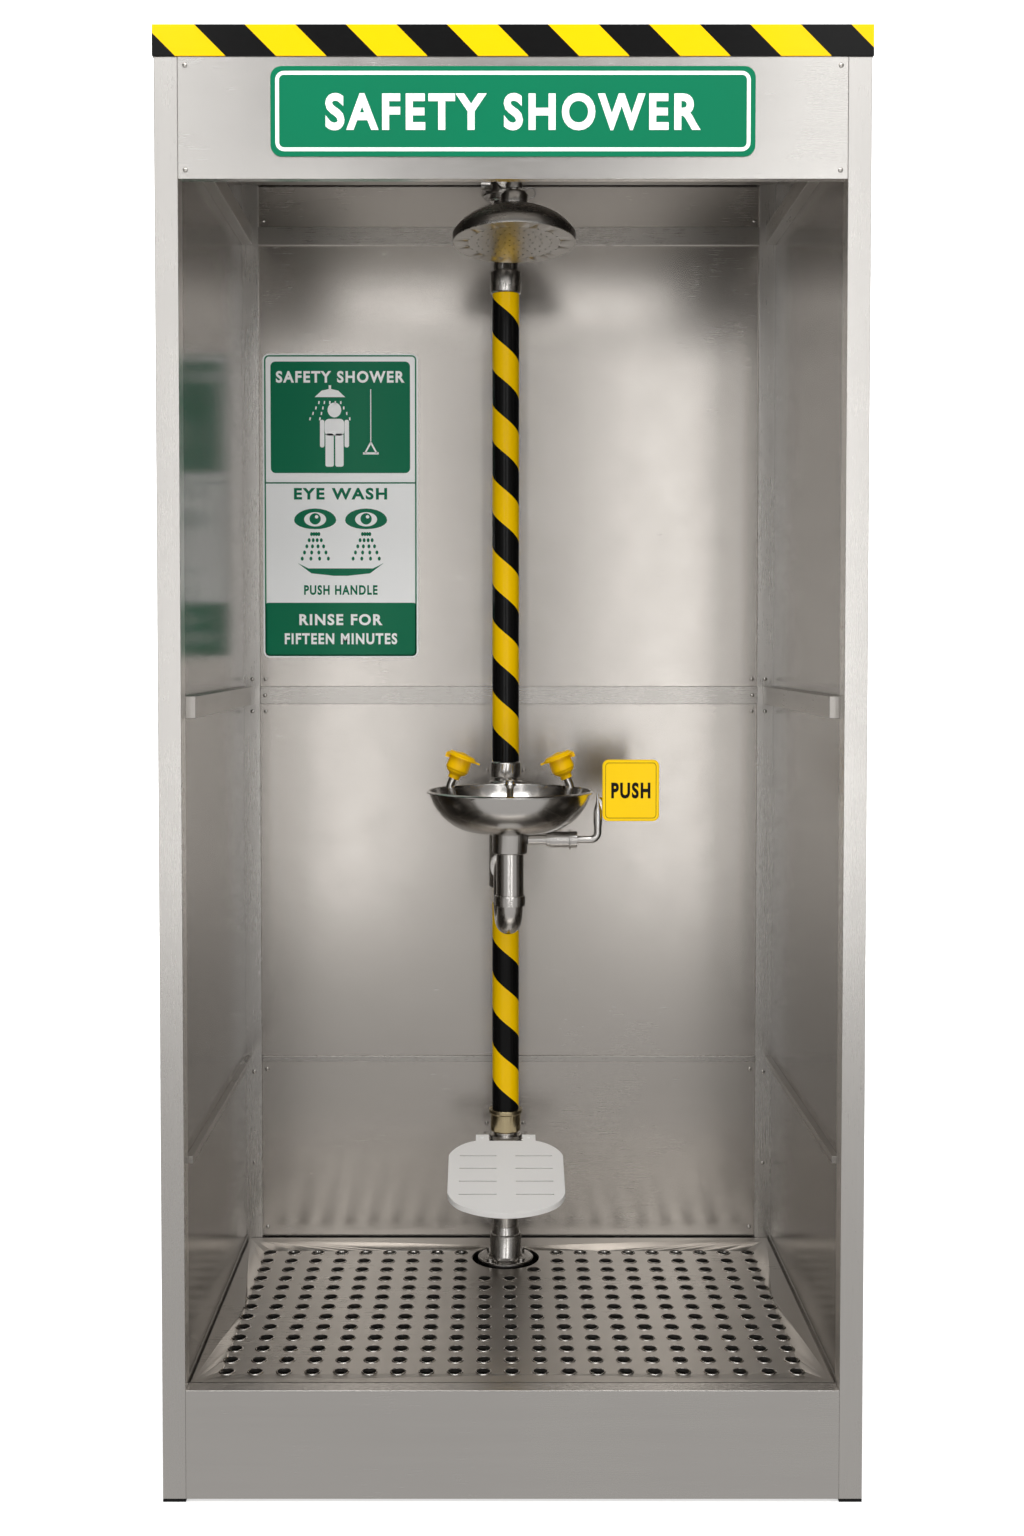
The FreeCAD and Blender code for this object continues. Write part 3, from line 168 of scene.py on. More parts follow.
soft_box("left_box", (-0.66, -4.2, 1.6), (-0.1, 0.3, 1.3), 0.28, 3.0, 10)
soft_box("right_box", (0.72, -4.2, 1.6), (0.1, 0.3, 1.3), 0.28, 3.0, 10)
soft_box("left_edge_box", (-1.36, -4.2, 2.2), (-0.5, -0.3, 1.3), 0.45, 4.2, 9)
soft_box("right_edge_box", (1.30, -4.2, 2.2), (0.5, -0.3, 1.3), 0.45, 4.2, 12)
soft_box("head_box", (0, -0.345, 2.235), (0, 0.1, 2.2), 0.8, 0.05, 0.5)
soft_box("top_box", (0, -2.2, 4.2), (0, 0.1, 0.4), 3.2, 1.4, 75)
soft_box("back_box", (0, 4.0, 3.6), (0, 7.5, 1.8), 7.0, 2.0, 260)


# ---- Outer frame: square posts, rails and cover sheets of stainless steel, brushed along their
# length, folded, welded and riveted. The corners are broken by the brake and the belt.
class Wire:
    """A value in a material's node tree. Arithmetic on it adds the nodes that work it out."""

    def __init__(self, tree, socket):
        self.tree = tree
        self.socket = socket

    def maths(self, operation, *values):
        node = self.tree.nodes.new("ShaderNodeMath")
        node.operation = operation
        for slot, value in zip(node.inputs, values):
            if isinstance(value, Wire):
                self.tree.links.new(value.socket, slot)
            else:
                slot.default_value = value
        return Wire(self.tree, node.outputs[0])

    def __add__(self, other):
        return self.maths("ADD", self, other)

    def __sub__(self, other):
        return self.maths("SUBTRACT", self, other)

    def __rsub__(self, other):
        return self.maths("SUBTRACT", other, self)

    def __mul__(self, other):
        return self.maths("MULTIPLY", self, other)

    def __truediv__(self, other):
        return self.maths("DIVIDE", self, other)

    def __gt__(self, other):
        return self.maths("GREATER_THAN", self, other)

    def __lt__(self, other):
        return self.maths("LESS_THAN", self, other)

    __radd__ = __add__
    __rmul__ = __mul__

    def fraction(self):
        return self.maths("FRACT", self)

    def clamped(self):
        return self.maths("MINIMUM", self.maths("MAXIMUM", self, 0.0), 1.0)


class Finish:
    """A procedural surface finish. Fixed values go straight to the shader's own sockets."""

    def __init__(self, name, **fixed):
        self.material = bpy.data.materials.new(name)
        self.material.use_nodes = True
        self.tree = self.material.node_tree
        self.shader = self.tree.nodes["Principled BSDF"]
        for socket, value in fixed.items():
            self.shader.inputs[socket.replace("_", " ")].default_value = value

    def node(self, kind, settings=None, inputs=None, out=0):
        made = self.tree.nodes.new(kind)
        for name, value in (settings or {}).items():
            setattr(made, name, value)
        for socket, value in (inputs or {}).items():
            if isinstance(value, Wire):
                self.tree.links.new(value.socket, made.inputs[socket])
            else:
                made.inputs[socket].default_value = value
        return Wire(self.tree, made.outputs[out])

    def place(self, scale=(1, 1, 1)):
        """Object coordinates, stretched."""
        spot = self.node("ShaderNodeTexCoord", out="Object")
        return self.node("ShaderNodeMapping", None, {"Vector": spot, "Scale": scale})

    def axes(self):
        spot = self.node("ShaderNodeTexCoord", out="Object")
        split = self.node("ShaderNodeSeparateXYZ", None, {"Vector": spot})
        return [Wire(self.tree, output) for output in split.socket.node.outputs]

    def noise(self, scale, stretch=(1, 1, 1), detail=2.0, rough=0.5):
        return self.node("ShaderNodeTexNoise", None, {
            "Vector": self.place(stretch), "Scale": scale, "Detail": detail,
            "Roughness": rough})

    def blend(self, share, first, second):
        """A colour between two, which is the second where the share is 1."""
        return self.node("ShaderNodeMix", {"data_type": "RGBA"},
                         {0: share, 6: first, 7: second}, out=2)

    def bump(self, height, strength, depth):
        return self.node("ShaderNodeBump", None,
                         {"Height": height, "Strength": strength, "Distance": depth})

    def surface(self, **wires):
        for socket, wire in wires.items():
            self.tree.links.new(wire.socket, self.shader.inputs[socket.replace("_", " ")])
        return self.material


def brushed(name, tone, grain, roughness=0.3, streak=0.05, spread=0.10, relief=0.05):
    """Stainless steel, brushed along the axis whose grain scale is small."""
    finish = Finish(name, Metallic=1.0)
    lines = finish.noise(26, grain, 4, 0.65)
    bands = finish.noise(7, tuple(g * 0.25 for g in grain), 2)
    clouds = finish.noise(1.7, (1, 1, 0.8), 3)
    marks = finish.noise(14, (1, 1, 1), 4, 0.6)
    light = srgb(tone)
    dark = tuple(c * (1 - spread * 2) for c in light[:3]) + (1,)
    share = (clouds * 0.55 + bands * 0.25 + lines * 0.35 - 0.08).clamped()
    polish = (lines - 0.5) * streak * 2 + (clouds - 0.5) * 0.10 + (marks - 0.5) * 0.07
    return finish.surface(
        Base_Color=finish.blend(share, dark, light),
        Roughness=(polish + roughness).clamped(),
        Normal=finish.bump(lines, relief, 0.0005))


def finished(node, material, edge=0.0008, sharp=38):
    """A welded copy of a CAD node with its edges broken, which stands for that node."""
    mesh = nodes[node].data.copy()
    work = bmesh.new()
    work.from_mesh(mesh)
    bmesh.ops.remove_doubles(work, verts=work.verts, dist=0.000004)
    if edge:
        bmesh.ops.dissolve_limit(work, angle_limit=math.radians(0.3), use_dissolve_boundaries=False,
                                 verts=work.verts, edges=work.edges)
    work.to_mesh(mesh)
    work.free()
    mesh.name = node + "_made"
    mesh.materials.clear()
    mesh.materials.append(material)
    mesh.shade_smooth()
    mesh.set_sharp_from_angle(angle=math.radians(sharp))
    piece = bpy.data.objects.new(node + "_made", mesh)
    scene.collection.objects.link(piece)
    if edge:
        bevel = piece.modifiers.new("broken_edges", "BEVEL")
        bevel.width = edge
        bevel.segments = 2
        bevel.limit_method = "ANGLE"
        bevel.angle_limit = math.radians(sharp)
        bevel.harden_normals = True
        bevel.use_clamp_overlap = True
    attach(piece, nodes[node]["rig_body"])
    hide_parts(node)
    return piece


UPRIGHT = (30, 30, 0.7)
LEVEL = (0.7, 30, 30)
DEEP = (30, 0.7, 30)
post_steel = brushed("post_steel", "#d2cfcb", UPRIGHT, 0.28)
panel_steel = brushed("panel_steel", "#cfccc8", LEVEL, 0.25)
rail_steel = brushed("rail_steel", "#b5b1ac", LEVEL, 0.28)
side_rail_steel = brushed("side_rail_steel", "#a8a49f", DEEP, 0.30)
for name in ("front_posts", "rear_posts"):
    finished(name, post_steel, 0.0012)
for name in ("header_panel", "kick_plate", "roof_cap"):
    finished(name, panel_steel, 0.0012)
finished("back_rails", rail_steel, 0.0008)
finished("side_rails", side_rail_steel, 0.0008)
# these sheets are flat right up to their folds
finished("outer_side_skins", post_steel, 0, 8)
finished("outer_back_skin", panel_steel, 0, 8)


# ---- Lining: thin satin sheet on the back and the sides, and the ceiling. The sheet is rolled
# level, so its streaks run across, and it is a little darker than the folded parts. On the sides
# and the ceiling it is made much darker still: painted shade where those faces get less light.
lining_steel = brushed("lining_steel", "#bab5af", LEVEL, 0.25, 0.04, 0.06)
# the sides and the ceiling are the same sheet with painted shade in its colour
shaded_side_steel = brushed("shaded_side_steel", "#8a8681", DEEP, 0.22, 0.04, 0.06)
shaded_ceiling_steel = brushed("shaded_ceiling_steel", "#8d8882", LEVEL, 0.30)
finished("back_liner", lining_steel, 0.0004)
finished("side_liners", shaded_side_steel, 0.0004)
finished("ceiling_panel", shaded_ceiling_steel, 0.0004)


# ---- Hazard band: glossy yellow and black tape round the roof's edge, cut on the slant, with a
# little over seven stripes of each colour across the front.
def stripes(name, share, gloss=0.22):
    """Tape whose yellow shows where share(finish) is 1."""
    yellow = srgb("#fac800")
    black = srgb("#0b0b0b")
    finish = Finish(name, Coat_Weight=0.04, Coat_Roughness=0.08, Specular_IOR_Level=0.12)
    mask = share(finish)
    faded = finish.noise(5, (1, 1, 1), 3)
    scuffs = finish.noise(60, (1, 1, 6), 3, 0.7)
    deep_yellow = tuple(c * 0.84 for c in yellow[:3]) + (1,)
    worn_black = tuple(c * 2.2 for c in black[:3]) + (1,)
    colour = finish.blend(mask, finish.blend(faded * 0.5, black, worn_black),
                          finish.blend(faded * 0.6, yellow, deep_yellow))
    return finish.surface(
        Base_Color=colour,
        Roughness=(scuffs - 0.5) * 0.14 + gloss,
        Normal=finish.bump(scuffs, 0.05, 0.0004))


band_low, band_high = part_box("fascia_strip")
stripe_pair = 0.1614
stripe_start = 0.0132


def slanted(finish):
    x, _, z = finish.axes()
    run = (x - band_low.x) + (z - band_high.z) + stripe_start
    return (run / stripe_pair).fraction() < 0.5


finished("fascia_strip", stripes("hazard_band", slanted), 0.0008)


# ---- Signs: green and white plates with rounded corners, printed lines and blocks, and generic
# wording cut from a plain bold face. The print stands a few hundredths proud of the plate.
def coated(name, code, roughness=0.3, spread=0.08, coat=0.04, grain=900, strength=0.02):
    """A coloured coat or moulding with faint patches and a fine skin."""
    finish = Finish(name, Coat_Weight=coat, Coat_Roughness=0.1, Specular_IOR_Level=0.12)
    patches = finish.noise(6, (1, 1, 1), 3)
    skin = finish.noise(grain, (1, 1, 1), 2)
    light = srgb(code)
    dark = tuple(c * (1 - spread * 2) for c in light[:3]) + (1,)
    return finish.surface(
        Base_Color=finish.blend(patches, light, dark),
        Roughness=(patches - 0.5) * 0.12 + (skin - 0.5) * 0.06 + roughness,
        Normal=finish.bump(skin, strength, 0.0005))


sign_green = coated("sign_green", "#007450", 0.36, 0.05)
sign_white = coated("sign_white", "#fcfdfc", 0.34, 0.01)
print_ink = coated("print_ink", "#0d0d0d", 0.45, 0.05, 0.0)


def rounded(left, low, right, high, radius, steps=6):
    """The corner points of a rectangle with rounded corners, anticlockwise from the low right."""
    corners = ((right - radius, low + radius, -90), (right - radius, high - radius, 0),
               (left + radius, high - radius, 90), (left + radius, low + radius, 180))
    points = []
    for x, z, start in corners:
        for step in range(steps + 1):
            turn = math.radians(start + step * 90 / steps)
            points.append((x + radius * math.cos(turn), z + radius * math.sin(turn)))
    return points


class Print:
    """Flat shapes on the front of a plate, gathered into one mesh with several inks. They are
    laid out to the right of the plate's middle and upwards from its lower edge."""

    def __init__(self, name, plate_node, thick=0.0002):
        low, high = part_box(plate_node)
        self.name = name
        self.work = bmesh.new()
        self.inks = []
        self.middle = (low.x + high.x) / 2
        self.foot = low.z
        self.face = low.y
        self.half = (high.x - low.x) / 2
        self.top = high.z - low.z
        self.thick = thick

    def point(self, x, z):
        return self.work.verts.new((self.middle + x, self.face, self.foot + z))

    def ink(self, material):
        if material not in self.inks:
            self.inks.append(material)
        return self.inks.index(material)

    def raised(self, faces, material, lift):
        """Gives flat faces their ink and a thickness towards the front."""
        grown = bmesh.ops.extrude_face_region(self.work, geom=faces)
        top = [v for v in grown["geom"] if isinstance(v, bmesh.types.BMVert)]
        bmesh.ops.translate(self.work, verts=top, vec=(0, -self.thick * lift, 0))
        number = self.ink(material)
        linked = {f for v in top for f in v.link_faces} | set(faces)
        for f in linked:
            f.material_index = number

    def shape(self, points, material, lift=1):
        verts = [self.point(x, z) for x, z in points]
        self.raised([self.work.faces.new(verts)], material, lift)

    def frame_line(self, inset, radius, width, material, lift=1):
        """A line of one width, a little way in from the plate's edge all round."""
        inner_edge = inset + width
        outer = rounded(inset - self.half, inset, self.half - inset, self.top - inset, radius)
        inner = rounded(inner_edge - self.half, inner_edge, self.half - inner_edge,
                        self.top - inner_edge, max(radius - width, 0.0005))
        ring = [[self.point(x, z) for x, z in side] for side in (outer, inner)]
        count = len(outer)
        faces = [self.work.faces.new((ring[0][i], ring[0][(i + 1) % count],
                                      ring[1][(i + 1) % count], ring[1][i]))
                 for i in range(count)]
        self.raised(faces, material, lift)

    def disc(self, x, z, across, high, material, lift=1, steps=28):
        self.shape([(x + across * math.cos(2 * math.pi * k / steps),
                     z + high * math.sin(2 * math.pi * k / steps)) for k in range(steps)],
                   material, lift)

    def bar(self, start, end, width, material, lift=1):
        """A straight stroke with square ends."""
        way = (Vector(end) - Vector(start)).normalized() * width / 2
        side = Vector((-way.y, way.x))
        a, b = Vector(start), Vector(end)
        self.shape([tuple(a - side), tuple(b - side), tuple(b + side), tuple(a + side)],
                   material, lift)

    def words(self, text, low, high, width, material, lift=1, weight=0.035):
        """A line of capitals between two levels, set to a width about the plate's middle."""
        curve = bpy.data.curves.new("line", "FONT")
        curve.body = text
        curve.offset = weight
        curve.space_character = 1.2
        curve.resolution_u = 5
        text_object = bpy.data.objects.new("line", curve)
        scene.collection.objects.link(text_object)
        flat = bpy.data.meshes.new_from_object(
            text_object.evaluated_get(bpy.context.evaluated_depsgraph_get()))
        bpy.data.objects.remove(text_object)
        xs = [v.co.x for v in flat.vertices]
        ys = [v.co.y for v in flat.vertices]
        across = width / (max(xs) - min(xs))
        up = (high - low) / (max(ys) - min(ys))
        centre = (max(xs) + min(xs)) / 2
        letters = bmesh.new()
        letters.from_mesh(flat)
        bmesh.ops.remove_doubles(letters, verts=letters.verts, dist=0.0001)
        copies = {}
        for v in letters.verts:
            copies[v.index] = self.point((v.co.x - centre) * across,
                                         low + (v.co.y - min(ys)) * up)
        faces = [self.work.faces.new([copies[v.index] for v in f.verts]) for f in letters.faces]
        letters.free()
        self.raised(faces, material, lift)

    def placed(self, body):
        bmesh.ops.recalc_face_normals(self.work, faces=self.work.faces)
        mesh = bpy.data.meshes.new(self.name)
        self.work.to_mesh(mesh)
        self.work.free()
        for material in self.inks:
            mesh.materials.append(material)
        piece = bpy.data.objects.new(self.name, mesh)
        scene.collection.objects.link(piece)
        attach(piece, body)
        return piece


def plate(name, node, radius, material, edge=0.0004):
    """A sign's plate: a rounded sheet in the place of the CAD node."""
    low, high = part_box(node)
    work = bmesh.new()
    outline = rounded(low.x, low.z, high.x, high.z, radius, 8)
    face = work.faces.new([work.verts.new((x, high.y, z)) for x, z in outline])
    grown = bmesh.ops.extrude_face_region(work, geom=[face])
    top = [v for v in grown["geom"] if isinstance(v, bmesh.types.BMVert)]
    bmesh.ops.translate(work, verts=top, vec=(0, low.y - high.y, 0))
    bmesh.ops.recalc_face_normals(work, faces=work.faces)
    mesh = bpy.data.meshes.new(name)
    work.to_mesh(mesh)
    work.free()
    mesh.materials.append(material)
    piece = bpy.data.objects.new(name, mesh)
    scene.collection.objects.link(piece)
    bevel = piece.modifiers.new("broken_edges", "BEVEL")
    bevel.width = edge
    bevel.segments = 2
    bevel.limit_method = "ANGLE"
    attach(piece, nodes[node]["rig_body"])
    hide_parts(node)
    return piece


plate("header_sign_plate", "header_sign", 0.018, sign_green)
header_print = Print("header_sign_print", "header_sign")
header_print.frame_line(0.008, 0.014, 0.006, sign_white)
header_print.words("SAFETY SHOWER", 0.041, 0.100, 0.600, sign_white, 3)
header_print.placed("cubicle")

plate("wall_sign_plate", "wall_sign", 0.012, sign_white)
wall_print = Print("wall_sign_print", "wall_sign")
edge = wall_print.half
wall_print.frame_line(0.003, 0.010, 0.003, sign_green)
wall_print.shape(rounded(0.016 - edge, 0.376, edge - 0.016, 0.602, 0.010), sign_green)
wall_print.shape(rounded(0.004 - edge, 0.004, edge - 0.004, 0.112, 0.006), sign_green)
wall_print.bar((0.004 - edge, 0.356), (edge - 0.004, 0.356), 0.003, sign_green)
for line, line_low, line_high, width, ink in (
        ("SAFETY SHOWER", 0.559, 0.583, 0.262, sign_white),
        ("EYE WASH", 0.322, 0.346, 0.190, sign_green),
        ("PUSH HANDLE", 0.128, 0.148, 0.150, sign_green),
        ("RINSE FOR", 0.066, 0.089, 0.170, sign_white),
        ("FIFTEEN MINUTES", 0.027, 0.050, 0.230, sign_white)):
    wall_print.words(line, line_low, line_high, width, ink, 2)
# a plain figure: head, trunk, two arms and two legs
head_middle = -0.012
wall_print.disc(head_middle, 0.504, 0.014, 0.015, sign_white, 2)
wall_print.shape(rounded(-0.032, 0.452, 0.008, 0.486, 0.009), sign_white, 2)
for limb, half_width, limb_low, limb_high in (
        (-0.037, 0.0045, 0.428, 0.484), (0.013, 0.0045, 0.428, 0.484),
        (-0.022, 0.0085, 0.389, 0.456), (-0.002, 0.0085, 0.389, 0.456)):
    wall_print.shape(rounded(limb - half_width, limb_low, limb + half_width, limb_high, 0.004),
                     sign_white, 2)
# the spray over it: a rose on a short stem, and drops that pass beside the head
rose_middle = -0.021
wall_print.shape([(-0.052, 0.530), (0.010, 0.530), (-0.004, 0.543), (-0.020, 0.547),
                  (-0.038, 0.543)], sign_white, 2)
wall_print.bar((rose_middle, 0.546), (rose_middle, 0.554), 0.005, sign_white, 2)
for row in range(4):
    for column in range(5):
        across = rose_middle + (column - 2) * (0.011 + row * 0.003)
        if abs(across - head_middle) > 0.017 or row == 0:
            drop = 0.522 - row * 0.011
            wall_print.bar((across, drop), (across * 1.02, drop - 0.006), 0.0028, sign_white, 2)
# the pull line beside it, with its three-cornered handle
line_at, line_end, handle_foot = 0.062, 0.438, 0.416
for start, end, thick in (
        ((line_at, 0.546), (line_at, line_end), 0.0018),
        ((line_at, line_end), (line_at - 0.012, handle_foot), 0.0035),
        ((line_at, line_end), (line_at + 0.012, handle_foot), 0.0035),
        ((line_at - 0.016, handle_foot), (line_at + 0.016, handle_foot), 0.0045)):
    wall_print.bar(start, end, thick, sign_white, 2)
# two open eyes over two jets and a basin
for eye in (-0.052, 0.052):
    lid = []
    for step in range(24):
        turn = math.pi * step / 12
        rise = 0.024 if step <= 12 else 0.018
        lid.append((eye + 0.043 * math.cos(turn), 0.280 + rise * math.sin(turn)))
    wall_print.shape(lid, sign_green)
    wall_print.disc(eye, 0.282, 0.0225, 0.0145, sign_white, 2)
    wall_print.disc(eye, 0.283, 0.0115, 0.0115, sign_green, 3)
    wall_print.disc(eye + 0.003, 0.287, 0.0035, 0.0035, sign_white, 4)
    for row in range(5):
        for column in range(4):
            reach = (column - 1.5) * (0.005 + (4 - row) * 0.0032)
            wall_print.disc(eye + reach, 0.202 + row * 0.0125, 0.0030, 0.0042, sign_green,
                            steps=10)
wall_print.shape([(-0.088, 0.193), (-0.066, 0.182), (0.066, 0.182), (0.088, 0.193),
                  (0.060, 0.172), (0.014, 0.167), (-0.014, 0.167), (-0.060, 0.172)], sign_green)
wall_print.placed("cubicle")


# ---- Rivets: low domed heads, turned from bar, on the posts, the rails, the header and the
# lining. One mesh of points carries them, and each gets the same small head.
def scattered(name, spots, head, material):
    """Copies of a small head at each spot, made one plain mesh through Geometry Nodes."""
    tree = bpy.data.node_groups.new(name + "_tree", "GeometryNodeTree")
    tree.interface.new_socket("Places", in_out="INPUT", socket_type="NodeSocketGeometry")
    size = tree.interface.new_socket("Head size", in_out="INPUT", socket_type="NodeSocketFloat")
    tree.interface.new_socket("Heads", in_out="OUTPUT", socket_type="NodeSocketGeometry")
    start = tree.nodes.new("NodeGroupInput")
    end = tree.nodes.new("NodeGroupOutput")
    info = tree.nodes.new("GeometryNodeObjectInfo")
    copies = tree.nodes.new("GeometryNodeInstanceOnPoints")
    real = tree.nodes.new("GeometryNodeRealizeInstances")
    dress = tree.nodes.new("GeometryNodeSetMaterial")
    info.inputs["Object"].default_value = head
    dress.inputs["Material"].default_value = material
    tree.links.new(start.outputs["Places"], copies.inputs["Points"])
    tree.links.new(info.outputs["Geometry"], copies.inputs["Instance"])
    tree.links.new(start.outputs["Head size"], copies.inputs["Scale"])
    tree.links.new(copies.outputs["Instances"], real.inputs["Geometry"])
    tree.links.new(real.outputs["Geometry"], dress.inputs["Geometry"])
    tree.links.new(dress.outputs["Geometry"], end.inputs["Heads"])
    points = bpy.data.meshes.new(name + "_spots")
    points.from_pydata(spots, [], [])
    carrier = bpy.data.objects.new(name + "_spots", points)
    scene.collection.objects.link(carrier)
    modifier = carrier.modifiers.new("heads", "NODES")
    modifier.node_group = tree
    modifier[size.identifier] = 1.0
    bpy.context.view_layer.update()
    mesh = bpy.data.meshes.new_from_object(
        carrier.evaluated_get(bpy.context.evaluated_depsgraph_get()))
    carrier.modifiers.remove(modifier)
    bpy.data.objects.remove(carrier)
    bpy.data.objects.remove(head)
    mesh.shade_smooth()
    mesh.set_sharp_from_angle(angle=math.radians(40))
    if material.name not in [m.name for m in mesh.materials if m]:
        mesh.materials.append(material)
    piece = bpy.data.objects.new(name, mesh)
    scene.collection.objects.link(piece)
    return piece


def lathe(name, outline, steps, turn):
    """A turned solid from an outline of (radius, height) points that starts and ends on the axis."""
    work = bmesh.new()
    rings = []
    for radius, height in outline:
        if radius < 1e-7:
            rings.append([work.verts.new((0, 0, height))])
        else:
            rings.append([work.verts.new((radius * math.cos(2 * math.pi * k / steps),
                                          radius * math.sin(2 * math.pi * k / steps), height))
                          for k in range(steps)])
    for lower, upper in zip(rings, rings[1:]):
        for k in range(steps):
            n = (k + 1) % steps
            corners = [lower[k % len(lower)], lower[n % len(lower)], upper[n % len(upper)],
                       upper[k % len(upper)]]
            corners = list(dict.fromkeys(corners))
            if len(corners) > 2:
                work.faces.new(corners)
    bmesh.ops.recalc_face_normals(work, faces=work.faces)
    mesh = bpy.data.meshes.new(name)
    bmesh.ops.transform(work, matrix=turn, verts=work.verts)
    work.to_mesh(mesh)
    work.free()
    head = bpy.data.objects.new(name, mesh)
    scene.collection.objects.link(head)
    return head


def islands(node):
    """The low and the high corner of each separate solid of a CAD node."""
    work = bmesh.new()
    work.from_mesh(nodes[node].data)
    bmesh.ops.remove_doubles(work, verts=work.verts, dist=0.000004)
    left = set(work.verts)
    found = []
    while left:
        waiting = [left.pop()]
        group = list(waiting)
        while waiting:
            v = waiting.pop()
            for e in v.link_edges:
                other = e.other_vert(v)
                if other in left:
                    left.discard(other)
                    group.append(other)
                    waiting.append(other)
        low = Vector([min(v.co[i] for v in group) for i in range(3)])
        high = Vector([max(v.co[i] for v in group) for i in range(3)])
        found.append((low, high))
    work.free()
    return found


fixing_steel = brushed("fixing_steel", "#bdb9b4", (1, 1, 1), 0.24, 0.03, 0.05, 0.0)
facing = Matrix.Rotation(math.radians(90), 4, "X")
head = lathe("rivet_head", ((0, 0), (0.0042, 0), (0.0042, 0.0004), (0.0036, 0.0012),
                            (0.0024, 0.0018), (0.0012, 0.0020), (0.0010, 0.0014), (0, 0.0014)),
             16, facing)
spots = [((low.x + high.x) / 2, high.y, (low.z + high.z) / 2) for low, high in islands("panel_rivets")]
rivets = scattered("rivet_heads", spots, head, fixing_steel)
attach(rivets, "cubicle")
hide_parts("panel_rivets")


# ---- Floor: a perforated sheet on ledges over the drip tray. Each hole is pressed up into a
# small lip, a little lighter than the sheet, and the sheet is cut round the riser's foot.
floor_steel = brushed("floor_steel", "#cbc6c0", LEVEL, 0.30, 0.05, 0.10, 0.03)
lip_steel = brushed("lip_steel", "#d4d0ca", (1, 1, 1), 0.26, 0.03, 0.05, 0.0)
# the drip tray under the grating gets near-black steel: painted shade, so the holes read dark
shaded_tray_steel = brushed("shaded_tray_steel", "#2c2a28", (1, 1, 1), 0.5, 0.03, 0.05, 0.0)
finished("floor_grating", floor_steel, 0)
finished("floor_ledges", side_rail_steel, 0.0006)
finished("drip_tray", shaded_tray_steel, 0.0006)
low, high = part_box("floor_grating")
floor_top = high.z
# the rims of the holes are the closed loops of the sheet's top face
work = bmesh.new()
work.from_mesh(nodes["floor_grating"].data)
bmesh.ops.remove_doubles(work, verts=work.verts, dist=0.000004)
walls = [f for f in work.faces if abs(f.normal.z) < 0.5]
rim_verts = {v for f in walls for v in f.verts if v.co.z > floor_top - 0.0001}
centres = []
while rim_verts:
    chain = [rim_verts.pop()]
    loop = list(chain)
    while chain:
        v = chain.pop()
        for e in v.link_edges:
            other = e.other_vert(v)
            if other in rim_verts and any(f in e.link_faces for f in v.link_faces
                                          if abs(f.normal.z) < 0.5):
                rim_verts.discard(other)
                chain.append(other)
                loop.append(other)
    xs, ys = [v.co.x for v in loop], [v.co.y for v in loop]
    if max(xs) - min(xs) < 0.03:
        centres.append(((max(xs) + min(xs)) / 2, (max(ys) + min(ys)) / 2, floor_top))
        hole = (max(xs) - min(xs)) / 2
work.free()
ring = bmesh.new()
section = ((hole - 0.0001, -0.0002), (hole - 0.0001, 0.0008), (hole + 0.0006, 0.0013),
           (hole + 0.0018, 0.0009), (hole + 0.0028, -0.0002))
rows = [[ring.verts.new((r * math.cos(2 * math.pi * k / 20), r * math.sin(2 * math.pi * k / 20), z))
         for k in range(20)] for r, z in section]
for a, b in zip(rows, rows[1:] + rows[:1]):
    for k in range(20):
        ring.faces.new((a[k], a[(k + 1) % 20], b[(k + 1) % 20], b[k]))
bmesh.ops.recalc_face_normals(ring, faces=ring.faces)
lip_mesh = bpy.data.meshes.new("floor_lip")
ring.to_mesh(lip_mesh)
ring.free()
lip = bpy.data.objects.new("floor_lip", lip_mesh)
scene.collection.objects.link(lip)
lips = scattered("floor_lips", centres, lip, lip_steel)
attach(lips, "cubicle")


# ---- Riser: DN40 stainless pipe in two halves, in glossy striped sleeves, held by collars and
# wall brackets, and bolted down through a flange on a pedestal.
pipe_steel = brushed("pipe_steel", "#cfccc8", UPRIGHT, 0.20, 0.03, 0.05, 0.01)
fitting_steel = brushed("fitting_steel", "#d0cdc9", (1, 1, 4), 0.24, 0.03, 0.05, 0.008)
collar_steel = brushed("collar_steel", "#cfbf9a", (1, 1, 4), 0.24, 0.03, 0.05, 0.008)
riser_low, riser_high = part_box("supply_riser")
riser_x = (riser_low.x + riser_high.x) / 2
riser_y = (riser_low.y + riser_high.y) / 2
lead = 0.140


def helical(finish):
    x, y, z = finish.axes()
    back = y - riser_y
    turn = back.maths("ARCTAN2", back, x - riser_x)
    run = (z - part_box("upper_sleeve")[1].z) / lead + turn / (2 * math.pi)
    return run.fraction() > 0.5


tape = stripes("sleeve_tape", helical, gloss=0.16)
finished("lower_sleeve", tape, 0.0006)
finished("upper_sleeve", tape, 0.0006)
finished("supply_riser", pipe_steel, 0.0005)
finished("waste_pipe", pipe_steel, 0.0005)
finished("lower_collar", collar_steel, 0.0006)
for name in ("middle_collar", "top_collar", "floor_flange", "flange_bolts", "tee_block"):
    finished(name, fitting_steel, 0.0006)
finished("wall_brackets", rail_steel, 0.0006)
# the pedestal takes the same near-black steel: painted shade
finished("riser_pedestal", shaded_tray_steel, 0.0006)


# ---- Overhead shower: a self-closing valve on the riser, a short arm, a swivel ball and nut, and
# a spun dome with a bright perforated face.
bright_steel = brushed("bright_steel", "#d4d2cf", (1, 1, 1), 0.30, 0.02, 0.05, 0.004)
dome_steel = brushed("dome_steel", "#cbc8c4", (1, 1, 4), 0.28, 0.03, 0.06, 0.008)
for name in ("shower_valve_body", "shower_arm", "swivel_ball", "bell_nut"):
    finished(name, fitting_steel, 0.0006)
finished("shower_dome", dome_steel, 0.0004, 50)
finished("spray_plate", bright_steel, 0.0)


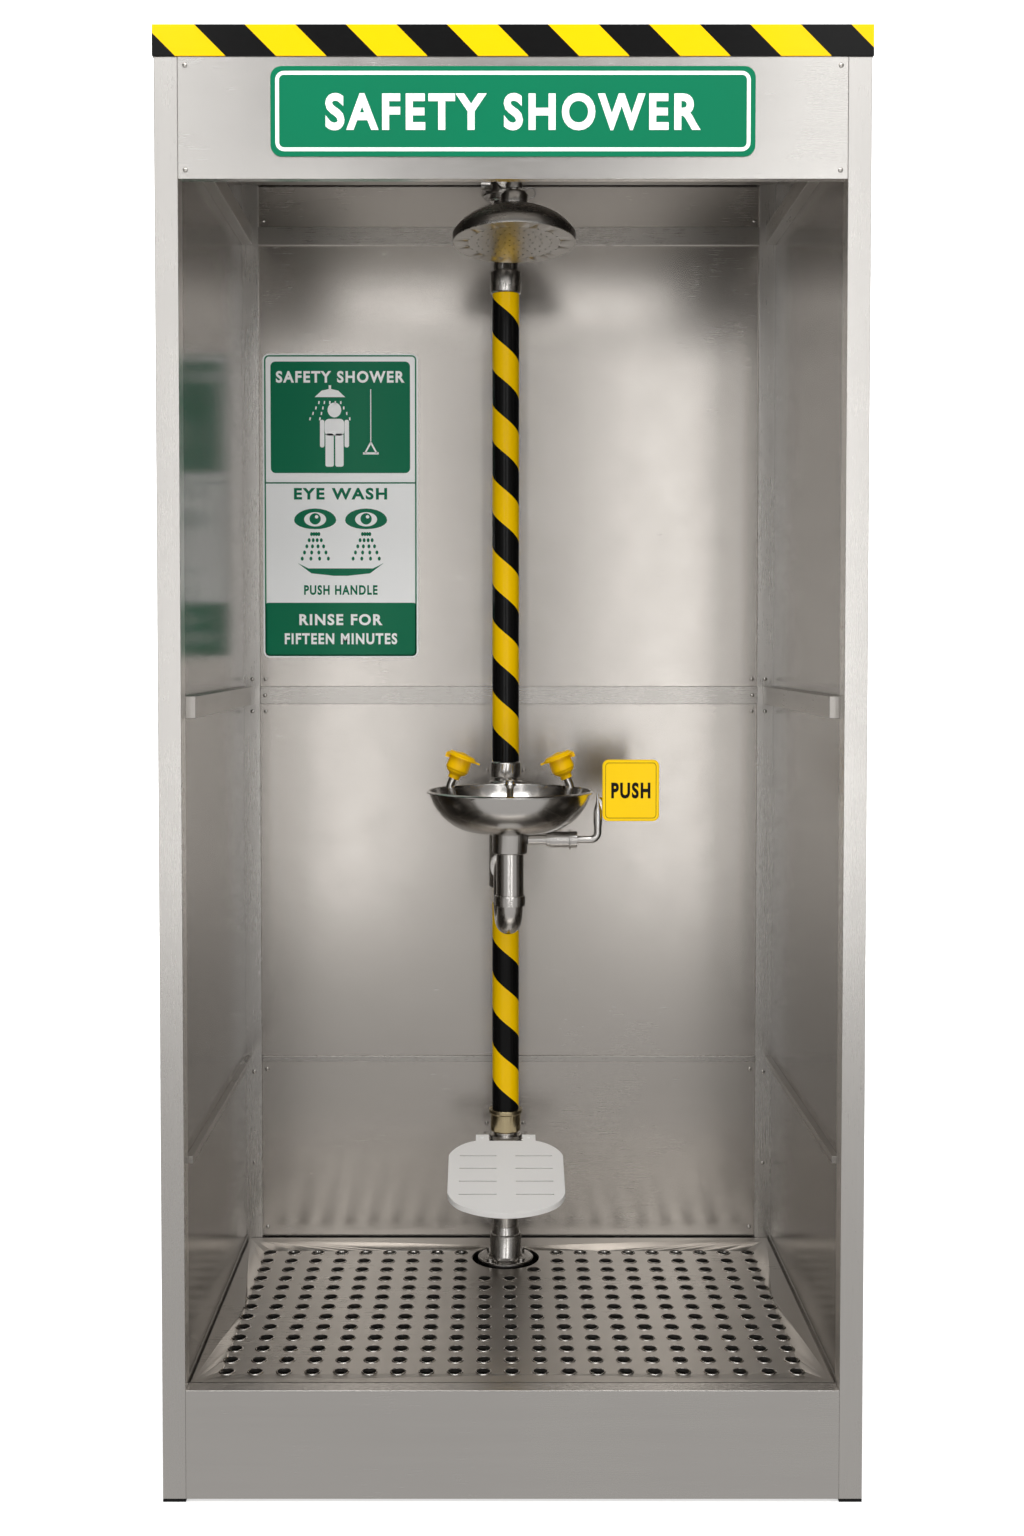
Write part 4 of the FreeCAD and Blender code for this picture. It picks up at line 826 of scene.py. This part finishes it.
# ---- Eye wash: a spun bowl with a rolled rim, a strainer post, two bent tubes with moulded
# yellow cups and dust caps on hinges, and the drain down to the trap.
bowl_finish = brushed("bowl_finish", "#cfccc8", (1, 1, 4), 0.20, 0.03, 0.06, 0.006)
cap_yellow = coated("cap_yellow", "#f8c200", 0.30, 0.06, 0.1)
finished("eyewash_bowl", bowl_finish, 0.0004, 50)
for name in ("drain_collar", "slip_nut", "tail_pipe", "trap_pipe", "strainer_post",
             "nozzle_tubes"):
    finished(name, fitting_steel, 0.0005)
for name in ("nozzle_cups", "left_dust_cap", "right_dust_cap"):
    finished(name, cap_yellow, 0.0006)


# ---- Push valve: a feed branch off the riser, a ball valve, and a bent handle that carries a
# yellow pressed plate with a raised rim and black capitals.
for name in ("feed_branch", "eyewash_valve_body", "handle_hub", "handle_arm", "plate_strap"):
    finished(name, fitting_steel, 0.0005)
plate_yellow = coated("plate_yellow", "#fdd000", 0.34, 0.03, 0.04)
plate("push_plate_pressed", "push_plate", 0.012, plate_yellow, 0.0015)
push_print = Print("push_plate_print", "push_plate", 0.0003)
push_print.frame_line(0.0015, 0.011, 0.004, plate_yellow, 5)
push_print.frame_line(0.0055, 0.007, 0.0009, print_ink)
push_print.words("PUSH", push_print.top / 2 - 0.015, push_print.top / 2 + 0.015, 0.073,
                 print_ink, weight=0.04)
push_print.placed("push_handle")


# ---- Treadle: a pale coated plate with grip slots on two arms, which turns on a clamp round the
# riser and lifts a rod behind it to the shower valve's lever. A spring returns it.
treadle_coat = coated("treadle_coat", "#f4f2ef", 0.45, 0.04, 0.0, 500, 0.06)
finished("treadle_plate", treadle_coat, 0.0016)
for name in ("treadle_fork", "treadle_clamp", "pull_rod", "valve_lever"):
    finished(name, fitting_steel, 0.0004)
# the spring gets a mesh of its own, and the corners of its CAD box are read
spring = finished("return_spring", fitting_steel, 0)
low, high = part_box("return_spring")
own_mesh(spring)


# ---- Feet: black rubber plugs under the posts.
foot_black = coated("foot_black", "#161616", 0.6, 0.1, 0.0, 400, 0.2)
finished("levelling_feet", foot_black, 0.0008)
